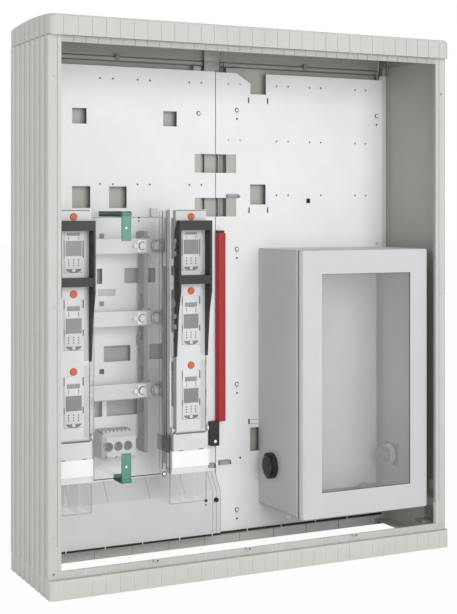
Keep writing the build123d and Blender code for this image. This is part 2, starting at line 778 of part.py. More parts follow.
# ================================================================ fuse-switch strips
chamber_half = pole_pitch / 2 - strip_wall / 2
window_w = 40
window_hh = 36
label_front_y = -78
label_foot_z = 264
label_top_z = 305
bay_back_y = -40
collar_front_y = -74
rail_cu = 2.5
rail_w = 16
rail_offset = (0, 30, -30)
jaw_back_y = fuse_y + blade_d / 2 + 1
jaw_t = 3
for side, cx in strip_x.items():
    # Housing: a trough with one chamber for each pole and an open terminal bay below.
    with BuildPart() as strip_base:
        block(
            (cx - strip_w / 2, cx + strip_w / 2), (strip_front_y, strip_back_y), (lid_foot_z, strip_top_z)
        )
        block(
            (cx - strip_w / 2, cx + strip_w / 2), (bay_back_y, strip_back_y), (strip_foot_z, lid_foot_z)
        )
        block(
            (cx - strip_w / 2, cx + strip_w / 2),
            (collar_front_y, strip_back_y),
            (strip_foot_z, label_foot_z),
        )
        for z in pole_z:
            top = min(z + chamber_half, strip_top_z - strip_wall)
            foot = max(z - chamber_half, lid_foot_z + strip_wall)
            block(
                (cx - strip_w / 2 + strip_wall, cx + strip_w / 2 - strip_wall),
                (strip_front_y, strip_back_y - strip_wall),
                (foot, top),
                Mode.SUBTRACT,
            )
            # Passages for the upper contact of each pole.
            block(
                (cx - 15, cx + 15),
                (strip_back_y - strip_wall, strip_back_y),
                (z + jaw_start, z + jaw_start + jaw_length),
                Mode.SUBTRACT,
            )
        # Slot behind the fuses for the outgoing rails.
        block(
            (cx - 40, cx + 40),
            (strip_back_y - strip_wall - rail_cu, strip_back_y - strip_wall),
            (strip_foot_z, pole_z[2]),
            Mode.SUBTRACT,
        )
        # Terminal bay, open to the front, and the cable collar below it.
        block(
            (cx - strip_w / 2 + strip_wall, cx + strip_w / 2 - strip_wall),
            (bay_back_y, strip_back_y - strip_wall),
            (strip_foot_z, lid_foot_z - strip_wall),
            Mode.SUBTRACT,
        )
        block(
            (cx - strip_w / 2 + strip_wall, cx + strip_w / 2 - strip_wall),
            (collar_front_y + strip_wall, bay_back_y),
            (strip_foot_z, label_foot_z),
            Mode.SUBTRACT,
        )
        # Hinge cheeks for the lid's trunnions.
        for hand in (-1, 1):
            cheek_x = cx + hand * (strip_w - strip_wall) / 2 - cheek_t / 2
            with BuildSketch(Plane.YZ.offset(cheek_x)):
                with Locations((hinge_y, hinge_z)):
                    Circle(hinge_r - 1)
                area((hinge_y, strip_front_y + 2), (hinge_z - hinge_r + 1, hinge_z + hinge_r - 1))
                with Locations((hinge_y, hinge_z)):
                    Circle(trunnion_r + pin_clearance, mode=Mode.SUBTRACT)
            extrude(amount=cheek_t)
        # Channel lines along both sides.
        for edge in (cx - strip_w / 2, cx + strip_w / 2):
            for y in (-55, -14):
                block((edge - 1, edge + 1), (y - 1, y + 1), (lid_foot_z, strip_top_z), Mode.SUBTRACT)
    finish(strip_base, f"strip_base_{side}")

    # Contacts: spring jaws above and below each fuse, with links to the busbars and terminals.
    with BuildPart() as strip_contacts:
        for z, offset in zip(pole_z, rail_offset):
            for way in (-1, 1):
                z0, z1 = sorted((z + way * jaw_start, z + way * (jaw_start + jaw_length)))
                with BuildSketch(Plane.XY.offset(z0)):
                    for hand in (-1, 1):
                        with BuildLine():
                            Polyline(
                                (cx + hand * jaw_slot / 2, jaw_back_y),
                                (cx + hand * jaw_slot / 2, fuse_y - 8),
                                (cx + hand * (jaw_slot / 2 + 5), fuse_y - 16),
                                (cx + hand * (jaw_slot / 2 + 7), fuse_y - 15),
                                (cx + hand * (jaw_slot / 2 + jaw_t), fuse_y - 7),
                                (cx + hand * (jaw_slot / 2 + jaw_t), jaw_back_y),
                                close=True,
                            )
                        make_face()
                    area(
                        (cx - jaw_slot / 2 - jaw_t, cx + jaw_slot / 2 + jaw_t),
                        (jaw_back_y, strip_back_y - strip_wall),
                    )
                extrude(amount=z1 - z0)
            # Link from the upper jaw back through the housing and down onto the busbar.
            with BuildSketch(Plane.YZ.offset(cx - 12)):
                with BuildLine():
                    Polyline(
                        (strip_back_y - strip_wall, z + jaw_start + 2),
                        (strip_back_y - strip_wall, z + jaw_start + jaw_length - 2),
                        (busbar_front_y, z + jaw_start + jaw_length - 2),
                        (busbar_front_y, z - busbar_h / 2 + 4),
                        (busbar_front_y - 5, z - busbar_h / 2 + 4),
                        (busbar_front_y - 5, z + jaw_start + 2),
                        close=True,
                    )
                make_face()
            extrude(amount=24)
            # Outgoing rail behind the fuses, from the lower jaw down to the terminal bay.
            with BuildSketch(facing_front(strip_back_y - strip_wall)):
                area(
                    (cx + offset - rail_w / 2, cx + offset + rail_w / 2),
                    (strip_foot_z + 14, z - jaw_start),
                )
                area(
                    sorted((cx - rail_w / 2, cx + offset + rail_w / 2))
                    if offset > 0
                    else sorted((cx + offset - rail_w / 2, cx + rail_w / 2)),
                    (z - jaw_start - jaw_length, z - jaw_start),
                )
            extrude(amount=rail_cu)
            # Bolt-on lug at the terminal.
            block(
                (cx + offset - rail_w / 2, cx + offset + rail_w / 2),
                (strip_back_y - strip_wall - rail_cu - 5, strip_back_y - strip_wall - rail_cu),
                (strip_foot_z + 14, strip_foot_z + 60),
            )
    finish(strip_contacts, f"strip_contacts_{side}")

    # Lid: a shallow tray with a viewing port and a fuse carrier for each pole.
    with BuildPart() as strip_lid:
        block(
            (cx - lid_w / 2, cx + lid_w / 2),
            (lid_front_y, strip_front_y - run_gap),
            (lid_foot_z, lid_top_z),
        )
        fillet(strip_lid.edges().filter_by(Axis.X).group_by(Axis.Y)[0].sort_by(Axis.Z)[0], hinge_r)
        fillet(strip_lid.edges().filter_by(Axis.Z).group_by(Axis.Y)[0], 1.5)
        block(
            (cx - lid_w / 2 + lid_sheet, cx + lid_w / 2 - lid_sheet),
            (lid_front_y + lid_sheet, strip_front_y),
            (lid_foot_z + lid_sheet, lid_top_z - lid_sheet),
            Mode.SUBTRACT,
        )
        # The foot is cut back so that it can turn in front of the housing.
        block(
            (cx - lid_w / 2, cx + lid_w / 2),
            (hinge_y + 2, strip_front_y),
            (lid_foot_z, lid_foot_z + 4),
            Mode.SUBTRACT,
        )
        # Trunnions at the foot.
        with BuildSketch(Plane.YZ.offset(cx - strip_w / 2)):
            with Locations((hinge_y, hinge_z)):
                Circle(trunnion_r)
        extrude(amount=strip_w)
        for z in pole_z:
            # Carrier grips reach back to the fuse body on both sides of the port.
            for hand in (-1, 1):
                block(
                    sorted((cx + hand * 21, cx + hand * 25)),
                    (lid_front_y + lid_sheet, fuse_y - fuse_body_d / 2),
                    (z - 24, z + 24),
                )
            block(
                (cx - window_w / 2, cx + window_w / 2),
                (lid_front_y, lid_front_y + lid_sheet),
                (z - window_hh / 2, z + window_hh / 2),
                Mode.SUBTRACT,
            )
    finish(strip_lid, f"strip_lid_{side}")

    # Handle: two side arms joined by bars above and below the top port, tapering into the lid.
    with BuildPart() as strip_handle:
        with BuildSketch(Plane.YZ.offset(cx - handle_w / 2)):
            with BuildLine():
                Polyline(
                    (handle_front_y, 878),
                    (handle_front_y, 711),
                    (handle_front_y + 16, 650),
                    (lid_front_y - 2, 540),
                    (lid_front_y, 540),
                    (lid_front_y, 846),
                    (lid_front_y - 14, 878),
                    close=True,
                )
            make_face()
            # Finger notches along the back edge.
            with Locations((lid_front_y + 2, 815), (lid_front_y + 2, 672)):
                Circle(10, mode=Mode.SUBTRACT)
        extrude(amount=handle_w)
        arm_t = 7
        block(
            (cx - handle_w / 2 + arm_t, cx + handle_w / 2 - arm_t),
            (handle_front_y, lid_front_y),
            (742, 854),
            Mode.SUBTRACT,
        )
        block(
            (cx - handle_w / 2 + arm_t, cx + handle_w / 2 - arm_t),
            (handle_front_y, lid_front_y),
            (539, 721),
            Mode.SUBTRACT,
        )
        fillet(strip_handle.edges().filter_by(Axis.Z).group_by(Axis.Y)[0], 2)
    finish(strip_handle, f"strip_handle_{side}")

    # Viewing ports: smoked panes in a raised frame.
    with BuildPart() as strip_windows:
        for z in pole_z:
            with BuildSketch(facing_front(lid_front_y + lid_sheet)):
                with Locations((cx, z)):
                    Rectangle(window_w, window_hh)
            extrude(amount=lid_sheet + 1.5)
    finish(strip_windows, f"strip_windows_{side}")

    # Test-point caps above each port.
    with BuildPart() as strip_caps:
        for z in pole_z:
            with BuildSketch(facing_front(lid_front_y)):
                with Locations((cx, z + 75.5)):
                    Circle(9)
            extrude(amount=3)
        chamfer(strip_caps.faces().sort_by(Axis.Y)[0:3].edges(), 1)
    finish(strip_caps, f"strip_test_caps_{side}")

    # Blade fuses: ceramic bodies with a knife blade at each end.
    with BuildPart() as fuse_links:
        for z in pole_z:
            with Locations((cx, fuse_y, z)):
                Box(fuse_body_w, fuse_body_d, fuse_body_h)
                Box(blade_t, blade_d, fuse_length)
    finish(fuse_links, f"fuse_links_{side}")


# Terminal covers: snap-on fronts above the label plates.
cover_w = 94
with BuildPart() as terminal_covers:
    for cx in strip_x.values():
        block(
            (cx - cover_w / 2, cx + cover_w / 2),
            (lid_front_y + 1, bay_back_y),
            (label_top_z, lid_foot_z - 0.6),
        )
    fillet(terminal_covers.edges().filter_by(Axis.Z).group_by(Axis.Y)[0], 1.5)
finish(terminal_covers, "terminal_covers")

# Label plates: blank white fronts below the terminal covers.
with BuildPart() as label_plates:
    for cx in strip_x.values():
        block(
            (cx - strip_w / 2, cx + strip_w / 2),
            (label_front_y, bay_back_y),
            (label_foot_z, label_top_z),
        )
finish(label_plates, "label_plates")

# Clear shrouds over the outgoing cables, divided for three cores.
shroud_foot_z = 172
shroud_t = 2.5
with BuildPart() as cable_shrouds:
    for cx in strip_x.values():
        with BuildSketch(Plane.XY.offset(shroud_foot_z)):
            area((cx - strip_w / 2, cx + strip_w / 2), (strip_front_y, strip_back_y - strip_wall))
            area(
                (cx - strip_w / 2 + shroud_t, cx + strip_w / 2 - shroud_t),
                (strip_front_y + shroud_t, strip_back_y - strip_wall),
                Mode.SUBTRACT,
            )
            for k in (-1, 1):
                area(
                    (cx + 17 * k - 1, cx + 17 * k + 1),
                    (strip_front_y + shroud_t, strip_back_y - strip_wall),
                )
        extrude(amount=strip_foot_z - shroud_foot_z)
finish(cable_shrouds, "cable_shrouds")

# ================================================================ red insulating bar
with BuildPart() as red_bar:
    with BuildSketch(Plane.XY.offset(338)):
        area((-1, 22), (108, plate_front_y))
    extrude(amount=842 - 338)
    fillet(red_bar.edges().filter_by(Axis.Z).group_by(Axis.Y)[0], 4)
finish(red_bar, "red_bar")

with BuildPart() as red_bar_mounts:
    # End cap above the bar.
    block((0, 18), (110, plate_front_y), (842, 849))
    # Bracket below it, with a suspension eye.
    block((-22, 1), (106, plate_front_y), (274, 338))
    drilled([(-12, 286)], 4.5, 106, 22)
finish(red_bar_mounts, "red_bar_mounts")

# ================================================================ window enclosure
plug_y = 48
plug_z = 220
plug_hole_r = 25
plug_head_r = 34
plug_head_t = 16
gland_hole_r = 8
gland_x = 145
gland_y = -20
rim_w = 19
seal_in = 11
seal_w = 8
fit_gap = 0.2
hinge_zs = (220, 690)
knuckle_h = 24
hinge_pin_r = 1.8
hinge_knuckle_r = 3.5
with BuildPart() as enclosure_body:
    block((enc_x0, enc_x1), (enc_rim_y, plate_front_y), (enc_z0, enc_z1))
    fillet(enclosure_body.edges().filter_by(Axis.Y), 5)
    block(
        (enc_x0 + enc_sheet, enc_x1 - enc_sheet),
        (enc_rim_y + enc_sheet, plate_front_y - enc_sheet),
        (enc_z0 + enc_sheet, enc_z1 - enc_sheet),
        Mode.SUBTRACT,
    )
    block(
        (enc_x0 + rim_w, enc_x1 - rim_w),
        (enc_rim_y, enc_rim_y + enc_sheet),
        (enc_z0 + rim_w, enc_z1 - rim_w),
        Mode.SUBTRACT,
    )
    # Round knock-outs for the side plugs, and one for the gland in the floor.
    with BuildSketch(Plane.YZ.offset(enc_x0)):
        with Locations((plug_y, plug_z)):
            Circle(plug_hole_r)
    extrude(amount=enc_x1 - enc_x0, mode=Mode.SUBTRACT)
    with BuildSketch(Plane.XY.offset(enc_z0)):
        with Locations((gland_x, gland_y)):
            Circle(gland_hole_r)
    extrude(amount=enc_sheet, mode=Mode.SUBTRACT)
finish(enclosure_body, "enclosure_body")

# Door: a folded tray with a window, a channel that carries the seal, and hinge knuckles.
with BuildPart() as enclosure_door:
    block((enc_x0, enc_x1), (door_front_y, door_back_y), (enc_z0, enc_z1))
    fillet(enclosure_door.edges().filter_by(Axis.Y), 5)
    fillet(enclosure_door.faces().sort_by(Axis.Y)[0].edges(), 3)
    block(
        (enc_x0 + enc_sheet, enc_x1 - enc_sheet),
        (door_front_y + enc_sheet, door_back_y),
        (enc_z0 + enc_sheet, enc_z1 - enc_sheet),
        Mode.SUBTRACT,
    )
    block(
        (window_x0, window_x1),
        (door_front_y, door_front_y + enc_sheet),
        (window_z0, window_z1),
        Mode.SUBTRACT,
    )
    with BuildSketch(facing_front(door_back_y)):
        area((enc_x0 + seal_in, enc_x1 - seal_in), (enc_z0 + seal_in, enc_z1 - seal_in))
        area(
            (enc_x0 + seal_in + seal_w, enc_x1 - seal_in - seal_w),
            (enc_z0 + seal_in + seal_w, enc_z1 - seal_in - seal_w),
            Mode.SUBTRACT,
        )
    extrude(amount=door_back_y - door_front_y - enc_sheet)
    for z in hinge_zs:
        # Notch in the return so that the door can swing past the fixed leaf.
        block(
            (enc_x1 - enc_sheet, enc_x1), (door_axis_y - 3.5, door_back_y), (z - knuckle_h, z + knuckle_h),
            Mode.SUBTRACT,
        )
        with BuildSketch(Plane.XY.offset(z - knuckle_h / 2)):
            with Locations((door_axis_x, door_axis_y)):
                Circle(hinge_knuckle_r)
            area((door_axis_x - 2, door_axis_x + 2), (door_front_y + enc_sheet, door_axis_y))
            with Locations((door_axis_x, door_axis_y)):
                Circle(hinge_pin_r + pin_clearance, mode=Mode.SUBTRACT)
        extrude(amount=knuckle_h)
finish(enclosure_door, "enclosure_door")

# Fixed hinge leaves with their pins.
with BuildPart() as enclosure_hinges:
    for z in hinge_zs:
        for z0, z1 in (
            (z - knuckle_h + 4, z - knuckle_h / 2 - run_gap),
            (z + knuckle_h / 2 + run_gap, z + knuckle_h - 4),
        ):
            with BuildSketch(Plane.XY.offset(z0)):
                with Locations((door_axis_x, door_axis_y)):
                    Circle(hinge_knuckle_r)
                area((door_axis_x - 2, door_axis_x + 2), (door_axis_y, enc_rim_y))
            extrude(amount=z1 - z0)
        with BuildSketch(Plane.XY.offset(z - knuckle_h + 4)):
            with Locations((door_axis_x, door_axis_y)):
                Circle(hinge_pin_r)
        extrude(amount=2 * knuckle_h - 8)
finish(enclosure_hinges, "enclosure_hinges")

# Window pane, clamped behind the door sheet.
pane_lap = 10
with BuildPart() as enclosure_glass:
    with BuildSketch(facing_front(door_front_y + enc_sheet + glass_t)):
        area((window_x0 - pane_lap, window_x1 + pane_lap), (window_z0 - pane_lap, window_z1 + pane_lap))
    extrude(amount=glass_t)
finish(enclosure_glass, "enclosure_glass")

# Foam seal on the door's channel.
with BuildPart() as enclosure_seal:
    with BuildSketch(facing_front(enc_rim_y - run_gap)):
        area((enc_x0 + seal_in, enc_x1 - seal_in), (enc_z0 + seal_in, enc_z1 - seal_in))
        area(
            (enc_x0 + seal_in + seal_w, enc_x1 - seal_in - seal_w),
            (enc_z0 + seal_in + seal_w, enc_z1 - seal_in - seal_w),
            Mode.SUBTRACT,
        )
    extrude(amount=enc_rim_y - run_gap - door_back_y)
finish(enclosure_seal, "enclosure_seal")

# Catches on the rim that hold the door shut from inside.
with BuildPart() as enclosure_catches:
    for z in (280, 626):
        with BuildSketch(Plane.XY.offset(z - 9)):
            area((enc_x0 + 3.5, enc_x0 + 9), (enc_rim_y - 14, enc_rim_y))
            with Locations((enc_x0 + 6.25, enc_rim_y - 14)):
                Circle(2.75)
        extrude(amount=18)
finish(enclosure_catches, "enclosure_catches")

# Inner mounting plate on four standoffs.
inset = 20
standoff_in = 16
standoff_r = 6
inner_plate_y = 105
with BuildPart() as enclosure_back_plate:
    with BuildSketch(facing_front(inner_plate_y)):
        area((enc_x0 + inset, enc_x1 - inset), (enc_z0 + inset, enc_z1 - inset))
    extrude(amount=plate_t)
    with BuildSketch(facing_front(plate_front_y - enc_sheet)):
        with Locations(((enc_x0 + enc_x1) / 2, (enc_z0 + enc_z1) / 2)):
            with GridLocations(
                enc_x1 - enc_x0 - 2 * (inset + standoff_in),
                enc_z1 - enc_z0 - 2 * (inset + standoff_in),
                2,
                2,
            ):
                RegularPolygon(standoff_r, 6)
    extrude(amount=plate_front_y - enc_sheet - inner_plate_y)
finish(enclosure_back_plate, "enclosure_back_plate")

# Blanking plugs: a domed head outside and a locknut inside each side wall.
with BuildPart() as blanking_plugs:
    for side, wall_x in ((-1, enc_x0), (1, enc_x1)):
        inside_x = wall_x - side * enc_sheet
        for x, r, depth in (
            (wall_x, plug_head_r, side * plug_head_t * 0.6),
            (wall_x, plug_head_r - 7, side * plug_head_t),
            (wall_x, plug_hole_r - fit_gap, -side * (enc_sheet + 9)),
            (inside_x, plug_head_r - 5, -side * 7),
        ):
            with BuildSketch(Plane.YZ.offset(x)):
                with Locations((plug_y, plug_z)):
                    Circle(r)
            extrude(amount=depth)
finish(blanking_plugs, "blanking_plugs")

# Cable gland through the floor.
with BuildPart() as enclosure_gland:
    with BuildSketch(Plane.XY.offset(enc_z0)):
        with Locations((gland_x, gland_y)):
            RegularPolygon(10, 6, major_radius=False)
    extrude(amount=-6)
    with BuildSketch(Plane.XY.offset(enc_z0 - 6)):
        with Locations((gland_x, gland_y)):
            Circle(8)
    extrude(amount=-8)
    with BuildSketch(Plane.XY.offset(enc_z0)):
        with Locations((gland_x, gland_y)):
            Circle(gland_hole_r - fit_gap)
    extrude(amount=enc_sheet + 5)
    with BuildSketch(Plane.XY.offset(enc_z0 + enc_sheet)):
        with Locations((gland_x, gland_y)):
            RegularPolygon(9, 6, major_radius=False)
    extrude(amount=3)
finish(enclosure_gland, "enclosure_gland")
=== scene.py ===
# %% [markdown]
# # A cable distribution cabinet with fuse strips and a windowed enclosure
# The CAD model gives every rigid piece its exact shape and place. Here each piece gets the
# finish of the real material, and the small pieces that a CAD model leaves out are
# modelled by hand: screws, frames, marks and folds. The first cell loads the CAD model and
# keeps its meshes, each set in its place. Nothing that is added may make the object
# bigger.

import json
import math

import bpy
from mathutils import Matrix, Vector


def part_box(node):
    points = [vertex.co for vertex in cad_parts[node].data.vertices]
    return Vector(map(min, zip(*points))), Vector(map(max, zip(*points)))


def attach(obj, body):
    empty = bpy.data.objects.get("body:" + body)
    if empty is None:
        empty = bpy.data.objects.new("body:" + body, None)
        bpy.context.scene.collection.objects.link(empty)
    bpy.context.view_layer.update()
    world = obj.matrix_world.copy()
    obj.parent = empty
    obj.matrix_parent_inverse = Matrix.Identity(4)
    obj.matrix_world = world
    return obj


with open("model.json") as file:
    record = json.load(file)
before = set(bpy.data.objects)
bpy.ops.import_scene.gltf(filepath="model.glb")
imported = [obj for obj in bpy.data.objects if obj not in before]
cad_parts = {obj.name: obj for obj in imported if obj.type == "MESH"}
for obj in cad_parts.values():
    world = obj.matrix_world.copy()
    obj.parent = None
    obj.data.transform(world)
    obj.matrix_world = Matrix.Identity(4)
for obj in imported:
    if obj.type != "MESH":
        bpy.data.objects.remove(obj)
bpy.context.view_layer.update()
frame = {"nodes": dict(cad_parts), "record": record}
nodes = frame["nodes"]

# %% [markdown]
# ## Shader arithmetic
# A finish is a small network of nodes. Wiring Math nodes by hand is slow to read, so one
# class wraps a socket and lets ordinary Python signs add the nodes: `1 - grain * 0.2` is a
# subtraction and a multiplication. A comparison gives 1 where it holds and 0 elsewhere,
# which is how a finish knows the place it is on.


# %% Sockets with arithmetic
class Value:
    """A number that varies over a surface; arithmetic on it adds Math nodes."""

    def __init__(self, owner, socket):
        self.owner, self.socket = owner, socket

    def math(self, operation, *terms):
        return self.owner.node(
            "ShaderNodeMath", {"operation": operation}, dict(enumerate(terms))
        )

    def __add__(self, other):
        return self.math("ADD", self, other)

    __radd__ = __add__

    def __sub__(self, other):
        return self.math("SUBTRACT", self, other)

    def __rsub__(self, other):
        return self.math("SUBTRACT", other, self)

    def __mul__(self, other):
        return self.math("MULTIPLY", self, other)

    __rmul__ = __mul__

    def __gt__(self, other):
        return self.math("GREATER_THAN", self, other)

    def __lt__(self, other):
        return self.math("LESS_THAN", self, other)

    def between(self, low, high):
        return (self > low) * (self < high)


# %% [markdown]
# One method adds any node: it takes the node's type, its settings, and the values or links
# of its sockets. The world's backdrop uses it later too, so it sits in a class of its own.


# %% A node tree
class Tree:
    """A node tree, to which one method adds any node."""

    def __init__(self, tree):
        self.tree = tree

    def node(self, kind, settings=None, inputs=None, output=0):
        """Any node: its settings first, then the values or links of its sockets."""
        made = self.tree.nodes.new(kind)
        for key, value in (settings or {}).items():
            if key == "stops":
                for element, (position, shade) in zip(made.color_ramp.elements, value):
                    element.position = position
                    element.color = (shade, shade, shade, 1)
            else:
                setattr(made, key, value)
        for key, value in (inputs or {}).items():
            if isinstance(value, Value):
                self.tree.links.new(value.socket, made.inputs[key])
            else:
                made.inputs[key].default_value = value
        return Value(self, made.outputs[output])


# %% [markdown]
# A finish is such a tree with a Principled shader at its end. All its patterns read Object
# coordinates, so that they stay the same size on every piece and need no unwrapping.


# %% A finish
class Finish(Tree):
    """A material under construction, with its node tree and its main shader."""

    def __init__(self, name, **constants):
        self.material = bpy.data.materials.new(name)
        self.material.use_nodes = True
        super().__init__(self.material.node_tree)
        self.shader = self.tree.nodes["Principled BSDF"]
        for socket, value in constants.items():
            self.shader.inputs[socket.replace("_", " ")].default_value = value
        self.place = self.node("ShaderNodeTexCoord", output="Object")

    def noise(self, scale, detail, roughness, place=None):
        return self.node(
            "ShaderNodeTexNoise",
            inputs={
                "Vector": place or self.place,
                "Scale": scale,
                "Detail": detail,
                "Roughness": roughness,
            },
        )

    def stretched(self, x, y, z):
        """Object coordinates scaled along each axis, for streaks and brushed grain."""
        return self.node(
            "ShaderNodeMapping", inputs={"Vector": self.place, "Scale": (x, y, z)}
        )

    def axis(self, name):
        return self.node("ShaderNodeSeparateXYZ", inputs={"Vector": self.place}, output=name)

    def ramp(self, value, *stops):
        return self.node("ShaderNodeValToRGB", {"stops": stops}, {"Fac": value})

    def blend(self, share, first, second):
        """Colour mix: `share` 0 gives the first, 1 gives the second."""
        return self.node(
            "ShaderNodeMix", {"data_type": "RGBA"}, {0: share, 6: first, 7: second}, output=2
        )

    def feed(self, **sockets):
        for name, value in sockets.items():
            self.tree.links.new(value.socket, self.shader.inputs[name.replace("_", " ")])

    def bump(self, height, strength, distance):
        lifted = self.node(
            "ShaderNodeBump", inputs={"Height": height, "Strength": strength, "Distance": distance}
        )
        self.feed(Normal=lifted)


# %% [markdown]
# Colours are written as on a paint chart, from 0 to 255. A shader works in linear light, so
# each is turned into that on the way.


# %% Paint chart
def tone(red, green, blue):
    """A colour from the paint chart, in the linear values a shader takes."""

    def linear(c):
        c /= 255
        return c / 12.92 if c <= 0.04045 else ((c + 0.055) / 1.055) ** 2.4

    return (linear(red), linear(green), linear(blue), 1)


print("chart grey 128 gives", round(tone(128, 128, 128)[0], 3), "of full light")


# %% [markdown]
# ## The moulded shell
# The shell is pressed from glass-fibre polyester. Its surface is matt, with a fine pebble
# from the tool and faint clouds where the fibres lie. A noise for the clouds mixes two
# close greys, and a finer noise lifts the grain.
#
# The shade changes from place to place. It is darker inside, under the roof and on the
# back of the lintel: painted shade, taken back low on the left of the rear wall. It is
# dusty near the ground and paler on the plinth. Painted light makes it paler in the upper
# rear corner on the right, in the plinth's groove, and at the foot of the inside, most on
# the right of the rear beam, against the shade there. A thin painted highlight runs along
# one edge of each rib of the side walls. A list pairs the share of each place with the
# shade it goes towards.


# %% Places on the shell
ribs_per_metre = 25.641
roof_foot, plinth_top = 1.310, 0.046


def shell_places(finish, cloud):
    """Each place on the shell: the share of its shade there, and the shade."""
    across, depth, height = (finish.axis(name) for name in "XYZ")
    span = across.math("ABSOLUTE", across)
    hollow = (span < 0.5478) * depth.between(-0.1435, 0.1525)
    inside = hollow * height.between(0.047, 1.354)
    under_roof = inside * (height > 1.3105)
    lintel = (span < 0.5252) * (depth < -0.1355) * height.between(1.2955, 1.3102)
    low_back = inside * (depth > 0.15) * height.between(0.12, 0.45) * (across < -0.02)
    # Painted shade inside, under the roof and on the back of the lintel, less low on the left of
    # the rear wall.
    painted_shade = inside * 0.35 + under_roof * 0.45 + lintel * 0.4 - low_back * 0.35
    # Painted light in the upper rear corner on the right.
    painted_corner_light = (across > 0.528) * (depth > 0.125) * height.between(1.288, 1.345)
    plinth = height < plinth_top
    # Painted light in the plinth's groove.
    painted_groove_light = plinth * depth.between(-0.1597, -0.155) * (span < 0.545)
    dust = finish.ramp(height * 4 + cloud * 0.3, (0.05, 1), (0.45, 0))
    # Painted highlight along one edge of each rib of the side walls.
    along = depth.math("FRACT", (depth - 0.0085) * ribs_per_metre)
    painted_rib_highlight = (span > 0.5545) * height.between(0.047, roof_foot) * (along < 0.1)
    # Painted light at the foot of the inside; on the rear beam it grows from left to right.
    foot = hollow * (height < 0.12)
    beam = foot * (depth > 0.14)
    far = finish.ramp(across * 2 + 0.3, (0.4, 0.2), (0.7, 0.95))
    return [
        (painted_shade, (150, 151, 142)),
        (painted_corner_light * 0.8, (226, 227, 222)),
        (plinth * 0.5, (214, 215, 211)),
        (painted_groove_light * 0.9, (226, 227, 222)),
        (dust * 0.4, (176, 170, 156)),
        (painted_rib_highlight * 0.75, (238, 239, 235)),
        (foot * 0.8 + beam * (far - 0.8), (236, 237, 232)),
    ]


# %% [markdown]
# Each shade is mixed over the one before. The clouds also make the shine uneven, as on a
# real moulding, and the fine grain feeds the bump.


# %% Polyester
def moulded(name, light, dark):
    finish = Finish(name)
    cloud = finish.noise(9, 4, 0.6)
    speck = finish.noise(900, 2, 0.5)
    shade = finish.ramp(cloud * 0.75 + speck * 0.25, (0.35, 0), (0.65, 1))
    colour = finish.blend(shade, tone(*dark), tone(*light))
    for share, paint in shell_places(finish, cloud):
        colour = finish.blend(share, colour, tone(*paint))
    finish.feed(Base_Color=colour, Roughness=0.62 + 0.18 * (cloud - 0.5))
    finish.bump(speck, 0.3, 0.0004)
    return finish.material


polyester = moulded("moulded_polyester", (196, 197, 193), (190, 191, 187))
print("made", polyester.name)

# %% [markdown]
# ## Painted sheet
# The mounting plates and the enclosure are powder-coated steel. Powder coat dries with an
# orange-peel surface, so its bump is coarser and softer than the moulded grain. A coat may
# name a second, darker shade for the hollow inside the enclosure's case: painted shade.


# %% Powder coats
def powder_coat(name, light, dark, peel, rough, lift, hollow_shade=None):
    finish = Finish(name, Specular_IOR_Level=0.4)
    skin = finish.noise(peel, 3, 0.55)
    smear = finish.noise(5, 3, 0.6)
    colour = finish.blend(finish.ramp(smear, (0.3, 0), (0.7, 1)), tone(*dark), tone(*light))
    if hollow_shade:
        # Painted shade inside the hollow of the case.
        across, depth, height = (finish.axis(name) for name in "XYZ")
        hollow = across.between(0.1305, 0.5115) * (depth < 0.1275) * height.between(0.1065, 0.7995)
        colour = finish.blend(hollow, colour, tone(*hollow_shade))
    finish.feed(Base_Color=colour, Roughness=rough + 0.12 * (smear - 0.5))
    finish.bump(skin, lift, 0.0003)
    return finish.material


plate_white = powder_coat("plate_white", (238, 239, 240), (231, 232, 233), 420, 0.5, 0.12)
panel_grey = powder_coat("panel_grey", (220, 221, 221), (212, 213, 213), 420, 0.5, 0.12)
enclosure_grey = powder_coat("enclosure_grey", (203, 203, 205), (197, 197, 199), 700, 0.48, 0.3)
# The case: paler than the door, painted light, and darker within, painted shade.
case_light_and_shade = powder_coat(
    "case_light_and_shade", (221, 222, 220), (215, 216, 214), 700, 0.48, 0.3, (188, 188, 188)
)
label_blank = powder_coat("label_blank", (244, 244, 245), (238, 238, 239), 160, 0.42, 0.05)
# A near-white coat for small pieces deep in shade: painted light.
bracket_painted_light = powder_coat("bracket_painted_light", (238, 238, 234), (226, 226, 222), 300, 0.5, 0.15)
print("made the powder coats:", plate_white.name, panel_grey.name, enclosure_grey.name)
print("and", case_light_and_shade.name, label_blank.name, bracket_painted_light.name)


# %% [markdown]
# ## Plastics
# Each plastic is one colour all through. What makes it look real is the slight unevenness
# of its shine, a fine spark-eroded grain, and faint paler and darker patches.


# %% Injection-moulded plastics
def plastic(name, light, dark, rough, grain=650, lift=0.12, coat=0.0):
    finish = Finish(name, Coat_Weight=coat, Specular_IOR_Level=0.45)
    speck = finish.noise(grain, 2, 0.5)
    worn = finish.noise(22, 4, 0.65)
    shade = finish.ramp(worn * 0.8 + speck * 0.2, (0.32, 0), (0.68, 1))
    colour = finish.blend(shade, tone(*dark), tone(*light))
    finish.feed(Base_Color=colour, Roughness=rough + 0.2 * (worn - 0.5))
    finish.bump(speck, lift, 0.0002)
    return finish.material


